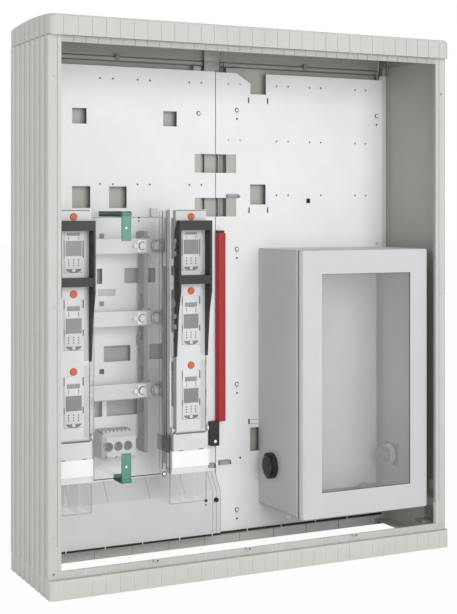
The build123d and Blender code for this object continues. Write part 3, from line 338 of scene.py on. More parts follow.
black_plastic = plastic("black_plastic", (28, 28, 28), (20, 20, 21), 0.5)
plug_black = plastic("plug_black", (62, 62, 63), (48, 48, 49), 0.4)
grey_plastic = plastic("grey_plastic", (164, 164, 164), (152, 152, 153), 0.5)
switch_grey = plastic("switch_grey", (214, 215, 217), (204, 205, 207), 0.4)
green_plastic = plastic("green_plastic", (92, 148, 130), (79, 135, 118), 0.42)
red_plastic = plastic("red_plastic", (176, 28, 28), (162, 25, 25), 0.5)
orange_plastic = plastic("orange_plastic", (206, 92, 46), (190, 82, 40), 0.42)
foam_black = plastic("foam_black", (70, 70, 70), (44, 44, 44), 0.9, 300, 0.8)
ceramic = plastic("fuse_ceramic", (232, 229, 220), (222, 218, 208), 0.3, 300, 0.05, 0.3)
comb_grey = plastic("comb_grey", (220, 220, 220), (208, 208, 209), 0.5)
rib_grey = plastic("rib_grey", (132, 132, 134), (112, 112, 114), 0.55)
band_grey = plastic("band_grey", (196, 197, 199), (186, 187, 189), 0.45)
seam_grey = plastic("seam_grey", (84, 84, 86), (66, 66, 68), 0.6)
line_grey = plastic("line_grey", (150, 150, 150), (132, 132, 132), 0.6)
deep_green = plastic("deep_green", (38, 78, 66), (28, 60, 52), 0.5)
print("made the plastics")

# %% [markdown]
# ## Metals
# Galvanised sheet shows spangle: patches of zinc crystals that shine a little differently.
# A Voronoi texture gives each patch its own shade and roughness.


# %% Galvanised sheet
def galvanised(name, light, dark, metal, rough):
    finish = Finish(name, Metallic=metal)
    spangle = finish.node(
        "ShaderNodeTexVoronoi",
        inputs={"Vector": finish.place, "Scale": 160, "Randomness": 1.0},
        output="Color",
    )
    flake = finish.node("ShaderNodeSeparateColor", inputs={"Color": spangle}, output="Red")
    cloud = finish.noise(18, 3, 0.6)
    shade = flake * 0.45 + cloud * 0.55
    finish.feed(
        Base_Color=finish.blend(shade, tone(*dark), tone(*light)),
        Roughness=rough + 0.14 * (flake - 0.5),
    )
    finish.bump(cloud, 0.08, 0.0004)
    return finish.material


galvanised_sheet = galvanised("galvanised_sheet", (214, 215, 213), (190, 191, 189), 0.35, 0.5)
# A darker, duller zinc for pieces in the dim rear and low in the base: painted shade.
galvanised_shaded = galvanised("galvanised_shaded", (176, 177, 172), (154, 155, 150), 0.35, 0.55)
# A paler zinc for the right rail: painted light, against its shade.
galvanised_painted_light = galvanised("galvanised_painted_light", (219, 220, 215), (208, 209, 204), 0.1, 0.5)
print("made the galvanised sheets")

# %% [markdown]
# Tinned copper bars and zinc-plated bolts are smoother, with the long grain of drawing and
# turning. A noise on stretched coordinates draws that grain along one direction.


# %% Drawn metal
def drawn_metal(name, light, dark, rough, direction, metal):
    finish = Finish(name, Metallic=metal)
    grain = finish.noise(90, 3, 0.6, finish.stretched(*direction))
    stain = finish.noise(16, 3, 0.6)
    shade = finish.ramp(grain * 0.5 + stain * 0.5, (0.3, 0), (0.7, 1))
    finish.feed(
        Base_Color=finish.blend(shade, tone(*dark), tone(*light)),
        Roughness=rough + 0.12 * (grain - 0.5),
    )
    finish.bump(grain, 0.08, 0.0002)
    return finish.material


along_bar, round_bolt = (0.6, 8, 8), (6, 6, 1)
tinned_copper = drawn_metal(
    "tinned_copper", (203, 203, 205), (194, 194, 196), 0.5, along_bar, 0.3
)
zinc_bright = drawn_metal("zinc_bright", (252, 252, 253), (236, 236, 239), 0.35, round_bolt, 0.4)
zinc_light = drawn_metal("zinc_light", (250, 250, 252), (232, 233, 236), 0.45, round_bolt, 0.3)
print("made the drawn metals")

# %% [markdown]
# ## Clear plastics
# The busbar cover is a bent sheet of clear plastic. Seen square on it nearly vanishes, and
# along its edges it turns milky, so its Alpha follows Layer Weight. The ports on the
# switch lids are smoked, and the enclosure's window is a thicker pane with a slight haze.


# %% Clear and smoked sheets
def clear(name, colour, faint, edge, rough, haze):
    finish = Finish(name, Roughness=rough, IOR=1.49)
    rim = finish.node("ShaderNodeLayerWeight", inputs={"Blend": 0.35}, output="Facing")
    film = finish.noise(haze, 3, 0.6)
    finish.feed(
        Base_Color=finish.blend(film, tone(*colour), tone(*[min(255, c + 12) for c in colour])),
        Alpha=faint + edge * rim + 0.06 * (film - 0.5),
    )
    return finish.material


clear_sheet = clear("clear_sheet", (244, 245, 246), 0.03, 0.11, 0.08, 9)
smoked_port = clear("smoked_port", (129, 129, 131), 0.78, 0.18, 0.25, 30)
window_pane = clear("window_pane", (216, 216, 216), 0.14, 0.08, 0.1, 4)
print("made the clear sheets")

# %% [markdown]
# The housing of a fuse strip is solid at the front, and its walls behind are clear, so that
# the contacts can be seen. One material does both, because its Alpha drops behind a plane.


# %% Housing of the strips
def half_clear(name, light, dark, behind, share):
    finish = Finish(name, Roughness=0.4, Specular_IOR_Level=0.45)
    mottle = finish.noise(22, 3, 0.6)
    back = finish.axis("Y") > behind
    finish.feed(
        Base_Color=finish.blend(mottle, tone(*dark), tone(*light)), Alpha=1 - back * (1 - share)
    )
    return finish.material


switch_body = half_clear("switch_body", (222, 223, 225), (212, 213, 215), -0.042, 0.04)
print("made", switch_body.name)

# %% [markdown]
# ## Giving each CAD piece its finish
# The record names a material slot for each piece of the CAD model, so one table from slot
# to finish dresses them all. A CAD mesh is never changed: only its material slot is.

# %% Dress the CAD pieces
finishes = {
    "grp_shell": polyester,
    "galvanised_steel": galvanised_sheet,
    "white_plate": plate_white,
    "light_plate": panel_grey,
    "black_plastic": black_plastic,
    "grey_plastic": grey_plastic,
    "tinned_copper": tinned_copper,
    "zinc_bolt": zinc_bright,
    "clear_sheet": clear_sheet,
    "green_plastic": green_plastic,
    "switch_housing": switch_grey,
    "label_white": label_blank,
    "smoked_port": smoked_port,
    "orange_plastic": orange_plastic,
    "fuse_ceramic": ceramic,
    "red_plastic": red_plastic,
    "enclosure_paint": enclosure_grey,
    "window_glass": window_pane,
    "foam_seal": foam_black,
}
for part in frame["record"]["subparts"]:
    nodes[part["node"]].material_slots[0].material = finishes[part["material_slot"]]

# %% [markdown]
# Some pieces of one material get a finish of their own. The rails in the dim rear and the
# foundation brackets are a darker, duller zinc: painted shade. The case of the enclosure is
# paler than its door, painted light, and darker within, painted shade. The right rail is a
# paler zinc, and the wall latch and the gland a near-white coat: painted light against the
# shade they stand in. The terminal block is a lighter plastic than the busbar combs.

# %% Finishes of their own
for finish, names in (
    (switch_body, ("strip_base_left", "strip_base_right")),
    (bracket_painted_light, ("wall_latch", "enclosure_gland")),
    (
        galvanised_shaded,
        ("rail_mid_left", "rail_mid_right", "rail_left", "top_rail", "foundation_brackets"),
    ),
    (comb_grey, ("terminal_block",)),
    (case_light_and_shade, ("enclosure_body",)),
    (panel_grey, ("enclosure_back_plate",)),
    (line_grey, ("rail_clips",)),
    (galvanised_painted_light, ("rail_right",)),
):
    for name in names:
        nodes[name].material_slots[0].material = finish
        print(name, "has", finish.name)

# %% [markdown]
# ## Tools for the small pieces
# The small pieces are cut from simple stock, as on a real bench. First come two helpers
# that select: an operator acts on all that is selected, so nothing may be left over. A
# third turns millimetres, in which a maker thinks, into Blender's metres.


# %% Select, and millimetres
def choose(*pieces):
    """Selects only these pieces and makes the first one active."""
    bpy.ops.object.select_all(action="DESELECT")
    for piece in pieces:
        piece.select_set(True)
    bpy.context.view_layer.objects.active = pieces[0]


def pick(piece, test):
    """Opens the mesh with only those faces selected that pass the test."""
    choose(piece)
    bpy.ops.object.mode_set(mode="EDIT")
    bpy.ops.mesh.select_mode(type="FACE")
    bpy.ops.mesh.select_all(action="DESELECT")
    bpy.ops.object.mode_set(mode="OBJECT")
    for face in piece.data.polygons:
        face.select = test(face)
    bpy.ops.object.mode_set(mode="EDIT")


def mm(*lengths):
    """Millimetres to metres."""
    return tuple(length / 1000 for length in lengths)


# %% [markdown]
# A block is a cube scaled to its two corners, with its edges broken by a bevel, because no
# real edge is sharp. A scribed or glued line is a block so thin that its bevel is a hair,
# and a mark is one that lies on a front face.


# %% Blocks and lines
broken_edge, hair = 0.0003, 0.0001


def block(low, high, edge=broken_edge):
    """A block between two corners, with its edges broken by a small bevel."""
    bpy.ops.object.select_all(action="DESELECT")
    bpy.ops.mesh.primitive_cube_add(size=1, location=[(a + b) / 2 for a, b in zip(low, high)])
    piece = bpy.context.object
    piece.scale = [b - a for a, b in zip(low, high)]
    bpy.ops.object.transform_apply()
    bpy.ops.object.mode_set(mode="EDIT")
    bpy.ops.mesh.select_all(action="SELECT")
    bpy.ops.mesh.bevel(offset=edge, segments=2)
    bpy.ops.object.mode_set(mode="OBJECT")
    return piece


def line(low, high):
    """A block as thin as a seam."""
    return block(low, high, hair)


def mark(across, up, face, proud, edge=hair):
    """A thin block on a front face: its two X, its two Z, the face's Y, how far it stands out."""
    return block((across[0], face - proud, up[0]), (across[1], face, up[1]), edge)


# %% [markdown]
# Round pieces are turned: a short cylinder, with its rim broken as a lathe tool would.

# %% Discs
frontways, sideways, upright = (90, 0, 0), (0, 90, 0), (0, 0, 0)
sides_of_disc, sharp_rim = 24, math.radians(60)


def disc(centre, radius, depth, facing=frontways, rim=0.0004):
    """A turned disc with its rim broken; it faces the front unless turned."""
    bpy.ops.object.select_all(action="DESELECT")
    bpy.ops.mesh.primitive_cylinder_add(
        vertices=sides_of_disc,
        radius=radius,
        depth=depth,
        location=centre,
        rotation=[math.radians(a) for a in facing],
    )
    piece = bpy.context.object
    bpy.ops.object.transform_apply()
    bpy.ops.object.mode_set(mode="EDIT")
    bpy.ops.mesh.select_mode(type="EDGE")
    bpy.ops.mesh.select_all(action="DESELECT")
    bpy.ops.mesh.edges_select_sharp(sharpness=sharp_rim)
    bpy.ops.mesh.bevel(offset=rim, segments=2)
    bpy.ops.object.mode_set(mode="OBJECT")
    return piece


# %% [markdown]
# Two operations come back on several pieces: sawing off what lies beyond a plane, and
# turning a whole piece about a line that runs across the cabinet.


# %% Saw and turn
def saw(piece, point, normal):
    """Cuts off what lies beyond the plane and closes the cut."""
    pick(piece, lambda face: True)
    bpy.ops.mesh.bisect(plane_co=point, plane_no=normal, clear_outer=True, use_fill=True)
    bpy.ops.object.mode_set(mode="OBJECT")


def turn(piece, angle, centre, shift=(0, 0, 0)):
    """Turns the whole piece about the line through the centre, along X, and shifts it."""
    pick(piece, lambda face: True)
    bpy.ops.transform.rotate(value=angle, orient_axis="X", center_override=centre)
    bpy.ops.transform.translate(value=shift)
    bpy.ops.object.mode_set(mode="OBJECT")


# %% [markdown]
# What comes back many times is modelled once. An Array modifier repeats it in a row, and
# copies, each with a mesh of its own, put it at any list of places.


# %% Rows and copies
def row(piece, count, step):
    """Repeats the piece in a straight row."""
    choose(piece)
    array = piece.modifiers.new("row", "ARRAY")
    array.use_relative_offset = False
    array.use_constant_offset = True
    array.count = count
    array.constant_offset_displace = step
    bpy.ops.object.modifier_apply(modifier=array.name)
    return piece


def copies(pattern, places):
    """Copies the pattern, made at the origin, to each place, and removes the pattern."""
    made = []
    for place in places:
        copy = pattern.copy()
        copy.data = pattern.data.copy()
        bpy.context.collection.objects.link(copy)
        copy.location = place
        made.append(copy)
    bpy.data.objects.remove(pattern)
    choose(*made)
    bpy.ops.object.transform_apply()
    bpy.ops.object.join()
    return bpy.context.object


# %% [markdown]
# A finished piece gets a name, its finish, smooth shading with crisp edges, and the body it
# rides on, so that it moves with the lid, latch or door that carries it.


# %% Finish a piece
crisp_angle = math.radians(35)


def done(name, pieces, material, body="cabinet"):
    """Joins pieces of one finish, names the result and lets it ride on its body."""
    choose(*pieces)
    if len(pieces) > 1:
        bpy.ops.object.join()
    piece = bpy.context.object
    piece.name = name
    piece.data.materials.clear()
    piece.data.materials.append(material)
    bpy.ops.object.shade_smooth_by_angle(angle=crisp_angle)
    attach(piece, body)
    print("made", name, "with", len(piece.data.polygons), "faces")


# %% [markdown]
# ## Screws of the shell and the plates
# A screw head is turned with a wide bevel for its dome. The middle of its face is then set
# in twice, raised a little and then sunk, which leaves the recess that a driver fits in.


# %% Screw heads
def pan_head(radius, height):
    """A screw head at the origin, facing the front: domed, with a recess for the driver."""
    head = disc((0, -height / 2, 0), radius, height, rim=height * 0.3)
    pick(head, lambda face: face.normal.y < -0.99)
    bpy.ops.mesh.inset(thickness=radius * 0.22)
    bpy.ops.transform.translate(value=(0, -height * 0.2, 0))
    bpy.ops.mesh.inset(thickness=radius * 0.3)
    bpy.ops.transform.translate(value=(0, height * 0.5, 0))
    bpy.ops.object.mode_set(mode="OBJECT")
    return head


# %% [markdown]
# Small screws clamp the front posts to the roof and to the base. Two of them have a deep
# socket, whose dark middle is painted shade: a small black disc just proud of the head.

# %% Post screws
post_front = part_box("side_wall_left")[0][1]
post_x = 0.543
post_z = mm(1215, 679, 142, 59)
screws = copies(
    pan_head(0.0027, 0.0014), [(side * post_x, post_front, z) for side in (-1, 1) for z in post_z]
)
done("post_screws", [screws], band_grey)
socket_y = post_front - 0.0016
sockets = copies(
    disc((0, 0, 0), 0.0019, 0.0008),
    [(-post_x - 0.001, socket_y, 0.058), (post_x - 0.002, socket_y, 1.2155)],
)
done("post_sockets", [sockets], black_plastic)

# %% [markdown]
# The plates hang on larger screws in keyholes: a black washer under a bright head. Below
# most of them a dark disc sits in a hole of the plate: painted shade for the hole.

# %% Keyhole screws
plate_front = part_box("mounting_plate_right")[0][1]
hang_z = (1175, 798, 432, 92)
keyhole_at = [mm(64, z) for z in hang_z] + [mm(510, 1173), mm(-50, 1162)]
hole_at = [mm(64, z - 24) for z in hang_z] + [mm(510, 1148), mm(74, 232)]
washers = copies(
    disc((0, -0.0004, 0), 0.0062, 0.0008), [(x, plate_front, z) for x, z in keyhole_at]
)
done("keyhole_washers", [washers], black_plastic)
heads = copies(pan_head(0.0042, 0.0024), [(x, plate_front - 0.0008, z) for x, z in keyhole_at])
done("keyhole_screws", [heads], zinc_light)
# Painted shade: a black disc in each hole.
hole_shades = copies(disc((0, 0, 0), 0.0028, 0.0016), [(x, plate_front, z) for x, z in hole_at])
done("lower_plate_screws", [hole_shades], black_plastic)

# %% [markdown]
# ## Rails
# The top rail is a folded channel. Two thin dark lines along its face are painted shade at its two
# folds.

# %% Painted shade at the rail folds
fold_shades = [line((-0.530, 0.1434, z), (0.522, 0.144, z + 0.0016)) for z in (1.2905, 1.3030)]
done("top_rail_folds", fold_shades, seam_grey)

# %% [markdown]
# A thin cover hides the joint in the middle of the rail and runs up the rear wall. Dark
# stops stand beside it, and four fine joints run up the wall under the roof.

# %% Rail joint
cover = block(mm(-29, 136.8, 1276.6), mm(15.5, 137.6, 1306))
post = block(mm(-29, 136.8, 1306), mm(15.5, 149.6, 1348))
done("rail_joint_cover", [cover, post], galvanised_shaded)
stops = [block(mm(x, 136.4, 1276.6), mm(x + 2.2, 137.4, 1305)) for x in (-31.4, 15.8, 26.8)]
done("rail_stops", stops, seam_grey)
lines = [line(mm(x, 149.6, 1311), mm(x + 1, 150, 1350)) for x in (-25, 25, 34, 46)]
done("roof_joint_lines", lines, line_grey)

# %% [markdown]
# In the upper right corner the upright rail ends in a head under a small bracket, held by
# a screw on a dark washer. The free edge of the rail is folded to a slim lip, drawn dark as
# painted shade beside the rail.

# %% Head of the right rail
head = block(mm(530.5, 128, 1288.3), mm(541, 149, 1308), 0.001)
done("rail_right_head", [head], galvanised_shaded)
bracket = block(mm(531, 128.2, 1308.2), mm(543, 149, 1334), 0.001)
done("rail_head_bracket", [bracket], line_grey)
ring = disc(mm(536.5, 127.7, 1321), 0.0062, 0.0006)
done("rail_head_washer", [ring], seam_grey)
cap = disc(mm(536.5, 127.2, 1321), 0.0042, 0.0010)
done("rail_head_screw", [cap], grey_plastic)
lip_shade = block(mm(543, 125.3, 60), mm(545.4, 126, 1287), 0.0002)
done("rail_right_lip", [lip_shade], rib_grey)

# %% [markdown]
# ## Faces of the fuse switch lids
# Both lids carry the same face. It is set out from the middle and the front of the lid and
# from the heights of its three smoked ports, one for each pole. These measures come from
# the CAD model. The field of the uppermost pole is shorter, because the lid ends above it.

# %% Measures of a lid
half_port, half_lid = 0.018, 0.041
lid_top = 0.853


class Lid:
    """The measures of one lid, and a way to put thin marks on its face."""

    def __init__(self, side):
        self.low, self.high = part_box("strip_lid_" + side)
        self.handle_low, self.handle_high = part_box("strip_handle_" + side)
        port_low, port_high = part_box("strip_windows_" + side)
        self.middle = (port_low[0] + port_high[0]) / 2
        self.front = self.low[1]
        first = port_low[2] + half_port
        pitch = (port_high[2] - port_low[2] - 2 * half_port) / 2
        self.poles = [(first + pole * pitch, pole == 2) for pole in range(3)]

    def mark(self, across, up, proud, edge=hair):
        """A thin block on the face, with its X counted from the lid's middle."""
        left, right = (self.middle + x for x in across)
        return mark((left, right), up, self.front, proud, edge)


lids = {side: Lid(side) for side in ("left", "right")}
for side, lid in lids.items():
    print("lid", side, "middle", round(lid.middle, 4), "front", round(lid.front, 4))

# %% [markdown]
# What is made for one lid is made for both. Each piece rides on its own lid, so that it
# swings out with the handle.


# %% A piece on both lids
def on_lids(name, make, finish):
    """Makes a piece for each lid and lets it ride on that lid."""
    for side, lid in lids.items():
        done(name + "_" + side, make(lid), finish, "lid_" + side)


# %% [markdown]
# Each port is set in a raised frame, moulded with the lid. Two fine lines on the left and
# below show the frame's shade, a third marks the field's right border, and a darker band of
# painted shade runs beside the frame.


# %% Frames, outlines and bands
half_frame, below_port, above_port = 0.0237, 0.058, 0.064
frame_proud = 0.0008


def lid_frames(lid):
    return [
        lid.mark(
            (-half_frame, half_frame),
            (z - below_port, min(z + above_port, lid_top)),
            frame_proud,
            broken_edge,
        )
        for z, uppermost in lid.poles
    ]


def lid_outlines(lid):
    made = []
    for z, uppermost in lid.poles:
        top = min(z + above_port, lid_top)
        made.append(lid.mark((-0.0243, -0.0235), (z - below_port, top), 0.001))
        made.append(lid.mark((-0.0243, 0.0243), (z - 0.0586, z - 0.0578), 0.001))
        made.append(lid.mark((0.0391, 0.0397), (z - 0.066, top), 0.0006))
    return made


def lid_bands(lid):
    return [
        lid.mark(
            (0.0262, 0.0385),
            (z - 0.069, lid_top) if uppermost else (z - 0.085, z + 0.088),
            0.0004,
        )
        for z, uppermost in lid.poles
    ]


on_lids("lid_frames", lid_frames, switch_grey)
on_lids("lid_outlines", lid_outlines, line_grey)
on_lids("lid_bands", lid_bands, band_grey)

# %% [markdown]
# The frame's two sides are open in places, where the fuse carrier can be gripped. The
# openings are black slots of painted shade, a little wider on the right, and the uppermost
# pole has one pair.


# %% Slots
def lid_slots(lid):
    made = []
    for z, uppermost in lid.poles:
        for low, high in ((-0.022, 0.019),) if uppermost else ((-0.025, -0.009), (0.042, 0.062)):
            for edge, half in ((-half_frame, 0.0008), (half_frame, 0.0012)):
                made.append(lid.mark((edge - half, edge + half), (z + low, z + high), 0.001))
    return made


on_lids("lid_slots", lid_slots, black_plastic)

# %% [markdown]
# Over each port sits a blank strip for a label, held by a comb of small ribs. Two dashes
# stand under it and nine vent holes below the port. A row repeats one rib, and a row of
# rows repeats one hole; the holes are dark blocks of painted shade. These marks lie on the
# raised frame, so they start in front of it.


# %% Label ribs and vents
def lid_label_ribs(lid):
    made = []
    for z, uppermost in lid.poles:
        knee, crown = mm(28, 37) if uppermost else mm(33, 47)
        rib = block(
            (lid.middle - 0.0164, lid.front - 0.0016, z + knee + 0.0025),
            (lid.middle - 0.0148, lid.front - frame_proud, z + crown),
            0.0002,
        )
        made.append(row(rib, 12, mm(2.72, 0, 0)))
    return made


def lid_vents(lid):
    made = []
    for z, uppermost in lid.poles:
        foot, knee = mm(20.5, 28) if uppermost else mm(22, 33)
        dash = line(
            (lid.middle - 0.013, lid.front - 0.0012, z + foot),
            (lid.middle - 0.0118, lid.front - frame_proud, z + knee),
        )
        made.append(row(dash, 2, mm(25, 0, 0)))
        hole = block(
            (lid.middle - 0.0140, lid.front - 0.0012, z - 0.0292),
            (lid.middle - 0.0110, lid.front - 0.0007, z - 0.0262),
        )
        made.append(row(row(hole, 3, mm(12.4, 0, 0)), 3, mm(0, 0, -6.5)))
    return made


on_lids("lid_label_ribs", lid_label_ribs, rib_grey)
on_lids("lid_vents", lid_vents, seam_grey)

# %% [markdown]
# A pull tab under each port opens it. It is half of a flattened disc: turned, pressed to
# half its height and sawn along its middle. A small round grip sits in it.


# %% Port tabs
def lid_port_tabs(lid):
    made = []
    for z, uppermost in lid.poles:
        middle = (lid.middle, lid.front, z - 0.049)
        tray = disc((lid.middle, lid.front - 0.0014, z - 0.049), 0.019, 0.0016)
        pick(tray, lambda face: True)
        bpy.ops.transform.resize(value=(1, 1, 0.5), center_override=middle)
        bpy.ops.object.mode_set(mode="OBJECT")
        saw(tray, middle, (0, 0, 1))
        made.append(tray)
    return made


def lid_tab_grips(lid):
    return [
        disc((lid.middle, lid.front - 0.0022, z - 0.0525), 0.0042, 0.001)
        for z, uppermost in lid.poles
    ]


on_lids("lid_port_tabs", lid_port_tabs, rib_grey)
on_lids("lid_tab_grips", lid_tab_grips, switch_grey)

# %% [markdown]
# The handle turns on bosses at its back edge, each in a pale seat. The bosses are black
# discs that face sideways. What would reach behind the front of the lid is sawn off.


# %% Handle seats and bosses
def handle_seats(lid):
    x = lid.handle_low[0] - 0.0003
    return [
        copies(
            disc((0, 0, 0), 0.0065, 0.0008, sideways),
            [(x, lid.front - 0.0067, z) for z in (0.827, 0.796, 0.641, 0.615)],
        )
    ]


def handle_bosses(lid):
    arm = lid.handle_low[0]
    bosses = copies(
        disc((0, 0, 0), 0.0044, 0.0014, sideways),
        [(arm - 0.0006, lid.front - 0.0175, 0.812), (arm - 0.0006, lid.front - 0.0155, 0.628)],
    )
    heels = copies(
        disc((0, 0, 0), 0.0058, 0.0038, sideways),
        [(arm + 0.0022, lid.front - 0.001, z) for z in (0.765, 0.582)],
    )
    fills = copies(
        disc((0, 0, 0), 0.0096, 0.0066, sideways),
        [(lid.handle_high[0] - 0.0035, lid.front + 0.002, z) for z in (0.815, 0.672)],
    )
    saw(fills, (0, lid.front - 0.0004, 0), (0, 1, 0))
    return [bosses, heels, fills]


on_lids("handle_seats", handle_seats, band_grey)
on_lids("handle_bosses", handle_bosses, black_plastic)

# %% [markdown]
# A dark joint runs round the lid: down both sides below the handle, and along the top.


# %% Lid seams
joint_wide, joint_proud = 0.0014, 0.0006


def lid_seams(lid):
    sides = (lid.low[2] + 0.0052, lid.handle_low[2])
    top = (lid.high[2] - joint_wide, lid.high[2])
    return [
        lid.mark((-half_lid, -0.0397), sides, joint_proud),
        lid.mark((0.0397, half_lid), sides, joint_proud),
        lid.mark((-half_lid, half_lid), top, joint_proud),
    ]


on_lids("lid_seams", lid_seams, seam_grey)

# %% [markdown]
# ## Feet of the strips
# Each terminal cover is held by two small catches at its lower corners, drawn dark grey as
# their painted shade, and a dark joint shows between it and the lid above.

# %% Strip feet
cover_low, cover_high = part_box("terminal_covers")
catch_z = (cover_low[2] + 0.0005, cover_low[2] + 0.003)
joint_z = (cover_high[2] - joint_wide, cover_high[2])
catches, foot_joints = [], []
for lid in lids.values():
    middle = lid.middle
    for x in (middle - 0.026, middle + 0.028):
        catches.append(mark((x - 0.006, x + 0.006), catch_z, cover_low[1], 0.0008, 0.0002))
    foot_joints.append(
        mark((middle - half_lid, middle + half_lid), joint_z, cover_low[1], joint_proud)
    )
done("terminal_cover_catches", catches, rib_grey)
done("lid_foot_joints", foot_joints, seam_grey)

# %% [markdown]
# The clear shrouds over the cables are glued from flat sheets. Their seams look dark
# against the panel behind them: three upright ones, and one along the foot of each shroud.

# %% Shroud seams
shroud_low, shroud_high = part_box("cable_shrouds")
near, far = shroud_low[1], shroud_low[1] + 0.001
seams = []
for x in (-0.423, -0.216, -0.116):
    inward = 0.0006 if x < -0.2 else -0.0006
    seams.append(
        line(
            (x - 0.0006 + inward, near, shroud_low[2]), (x + 0.0006 + inward, far, shroud_high[2])
        )
    )
for left, right in ((-0.523, -0.423), (-0.216, -0.116)):
    seams.append(line((left, near, shroud_low[2]), (right, far, shroud_low[2] + 0.001)))
done("shroud_seams", seams, rib_grey)

# %% [markdown]
# The left side of the right strip is open to view. Its wall is moulded in steps: dark
# ridges of painted shade with pale lands between them, and a flat terminal near the foot.

# %% Side of the right strip
strip_low, strip_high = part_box("strip_base_right")
wall_x = strip_low[0] - 0.0004


def upright_line(y, wide):
    """A moulded step that runs up the whole wall."""
    return line(
        (wall_x, y, strip_low[2] + 0.004), (wall_x + 0.0006, y + wide, strip_high[2] - 0.004)
    )


ridges = [upright_line(*step) for step in ((-0.0165, 0.0022), (-0.044, 0.002), (0.003, 0.0016))]
ridges.append(line((wall_x, -0.0645, 0.251), (wall_x + 0.0006, -0.0605, 0.345)))
done("strip_side_ridges", ridges, seam_grey)
lands = [upright_line(y, 0.003) for y in (-0.021, -0.037)]
done("strip_side_lands", lands, switch_grey)
terminal = block((wall_x - 0.0006, -0.058, 0.299), (wall_x + 0.0004, 0.016, 0.338))
done("strip_side_terminal", [terminal], rib_grey)

# %% [markdown]
# One screw on a black washer holds the shroud beside that wall.

# %% Shroud screw
shroud_screw_x = wall_x - 0.0060
washer = disc((shroud_screw_x, -0.0430, 0.2450), 0.0066, 0.001)
done("shroud_washer", [washer], black_plastic)
head = disc((shroud_screw_x, -0.0440, 0.2450), 0.0044, 0.0016)
done("shroud_screw", [head], zinc_light)

# %% [markdown]
# ## Bolts of the busbars
# Each bar carries a clamp, a large bolt and a small screw. Behind the clear cover their
# faces are near-white discs, a painted highlight, and a dark ring of painted shade sets each
# off from the bar. Both are thin discs, each just in front of what it covers.

# %% Painted highlights and shades of the bolts
pole_height = mm(812, 627, 442)
clamp_x, bolt_x, screw_x = mm(-240, -202, -260)


def on_bars(x, y, radius, thick):
    """One thin disc on each of the three bars."""
    return [disc((x, y, z), radius, thick) for z in pole_height]


shades = on_bars(bolt_x, 0.0582, 0.0146, 0.0006) + on_bars(bolt_x, 0.0565, 0.0106, 0.0006)
done("washer_shades", shades, black_plastic)
done("clamp_shades", on_bars(clamp_x, 0.0586, 0.0112, 0.0006), rib_grey)
painted_highlights = on_bars(bolt_x, 0.0435, 0.0088, 0.0008)
painted_highlights += on_bars(bolt_x, 0.0574, 0.0128, 0.0006)
painted_highlights += on_bars(clamp_x, 0.0515, 0.0082, 0.0008)
painted_highlights += on_bars(screw_x, 0.0525, 0.0048, 0.0008)
done("bolt_faces", painted_highlights, label_blank)

# %% [markdown]
# The comb that carries the bars ends at the top in a square head with a white clip on it.

# %% Comb head
comb = block(mm(-191, 118, 885), mm(-171, 128, 909), 0.001)
done("comb_head", [comb], comb_grey)
clip = block(mm(-190, 117, 887), mm(-177, 118.2, 893))
done("comb_head_clip", [clip], plate_white)

# %% [markdown]
# ## Teeth and levers
# The left strip shows a row of locking teeth along its right rim. The right strip shows
# three small release levers beside its lid.

# %% Teeth and levers
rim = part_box("strip_base_left")[1][0]
tooth = block((rim - 0.0085, -0.0646, 0.354), (rim - 0.0025, -0.063, 0.361), 0.0004)
done("rim_teeth", [row(tooth, 13, mm(0, 0, 13.4))], rib_grey)
rim = strip_high[0]
levers = [
    block((rim - 0.0075, -0.066, z), (rim - 0.0005, -0.063, z + 0.021), 0.0012)
    for z in (0.512, 0.432, 0.386)
]
done("release_levers", levers, line_grey)

# %% [markdown]
# ## Terminal block
# The top of the block is castellated, so that cables of two poles cannot touch. One
# merlon is modelled and repeated in a row.

# %% Terminal ribs
block_low, block_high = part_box("terminal_block")
merlon = block(
    (block_low[0] + 0.004, block_low[1] + 0.013, block_high[2] - 0.0002),
    (block_low[0] + 0.010, block_high[1] - 0.006, block_high[2] + 0.004),
    0.0008,
)
done("terminal_ribs", [row(merlon, 8, mm(10.6, 0, 0))], comb_grey)

# %% [markdown]
# ## Lower panel
# The panel is folded from sheet with lapped joints. Each shows as a thin line that runs
# down the sloping top. The line is laid out upright, tipped to the slope and then moved.

# %% A panel joint
panel_low, panel_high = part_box("lower_panel")
fold_z = 0.155
run, rise = panel_high[1] - panel_low[1], panel_high[2] - fold_z
slope = math.atan2(run, rise)


def panel_line(x, down):
    """A lapped joint: a thin strip on the slope, carried on down the front if asked."""
    left, right = x - 0.0005, x + 0.0005
    strip = line((left, -0.0003, 0), (right, 0.0003, math.hypot(run, rise)))
    turn(strip, slope, (0, 0, 0), (0, panel_low[1], fold_z))
    if not down:
        return [strip]
    return [strip, mark((left, right), (panel_low[2], fold_z), panel_low[1], 0.0004)]


print("the panel's top leans back", round(math.degrees(slope), 1), "degrees")


# %% [markdown]
# At the right end a folded flange makes three lines that run on down the front. Beside it
# sit a black stud and a smaller one below.

# %% Panel joints and studs
joints = []
for x in mm(-423, -320, -205, -105):
    joints += panel_line(x, False)
for x in mm(-25.4, -14, -2.7):
    joints += panel_line(x, True)
done("panel_joints", joints, line_grey)
studs = [
    disc((-0.0453, panel_low[1] - 0.001, 0.1346), 0.0043, 0.002),
    disc((-0.0453, panel_low[1] - 0.0005, 0.123), 0.0022, 0.001),
]
done("panel_studs", studs, black_plastic)

# %% [markdown]
# ## Shade under the sheets
# A black strip along the foot of the lower panel and of the right plate is painted shade: the
# dark gap above the rear beam. Small pale locating lugs stand in front of it.

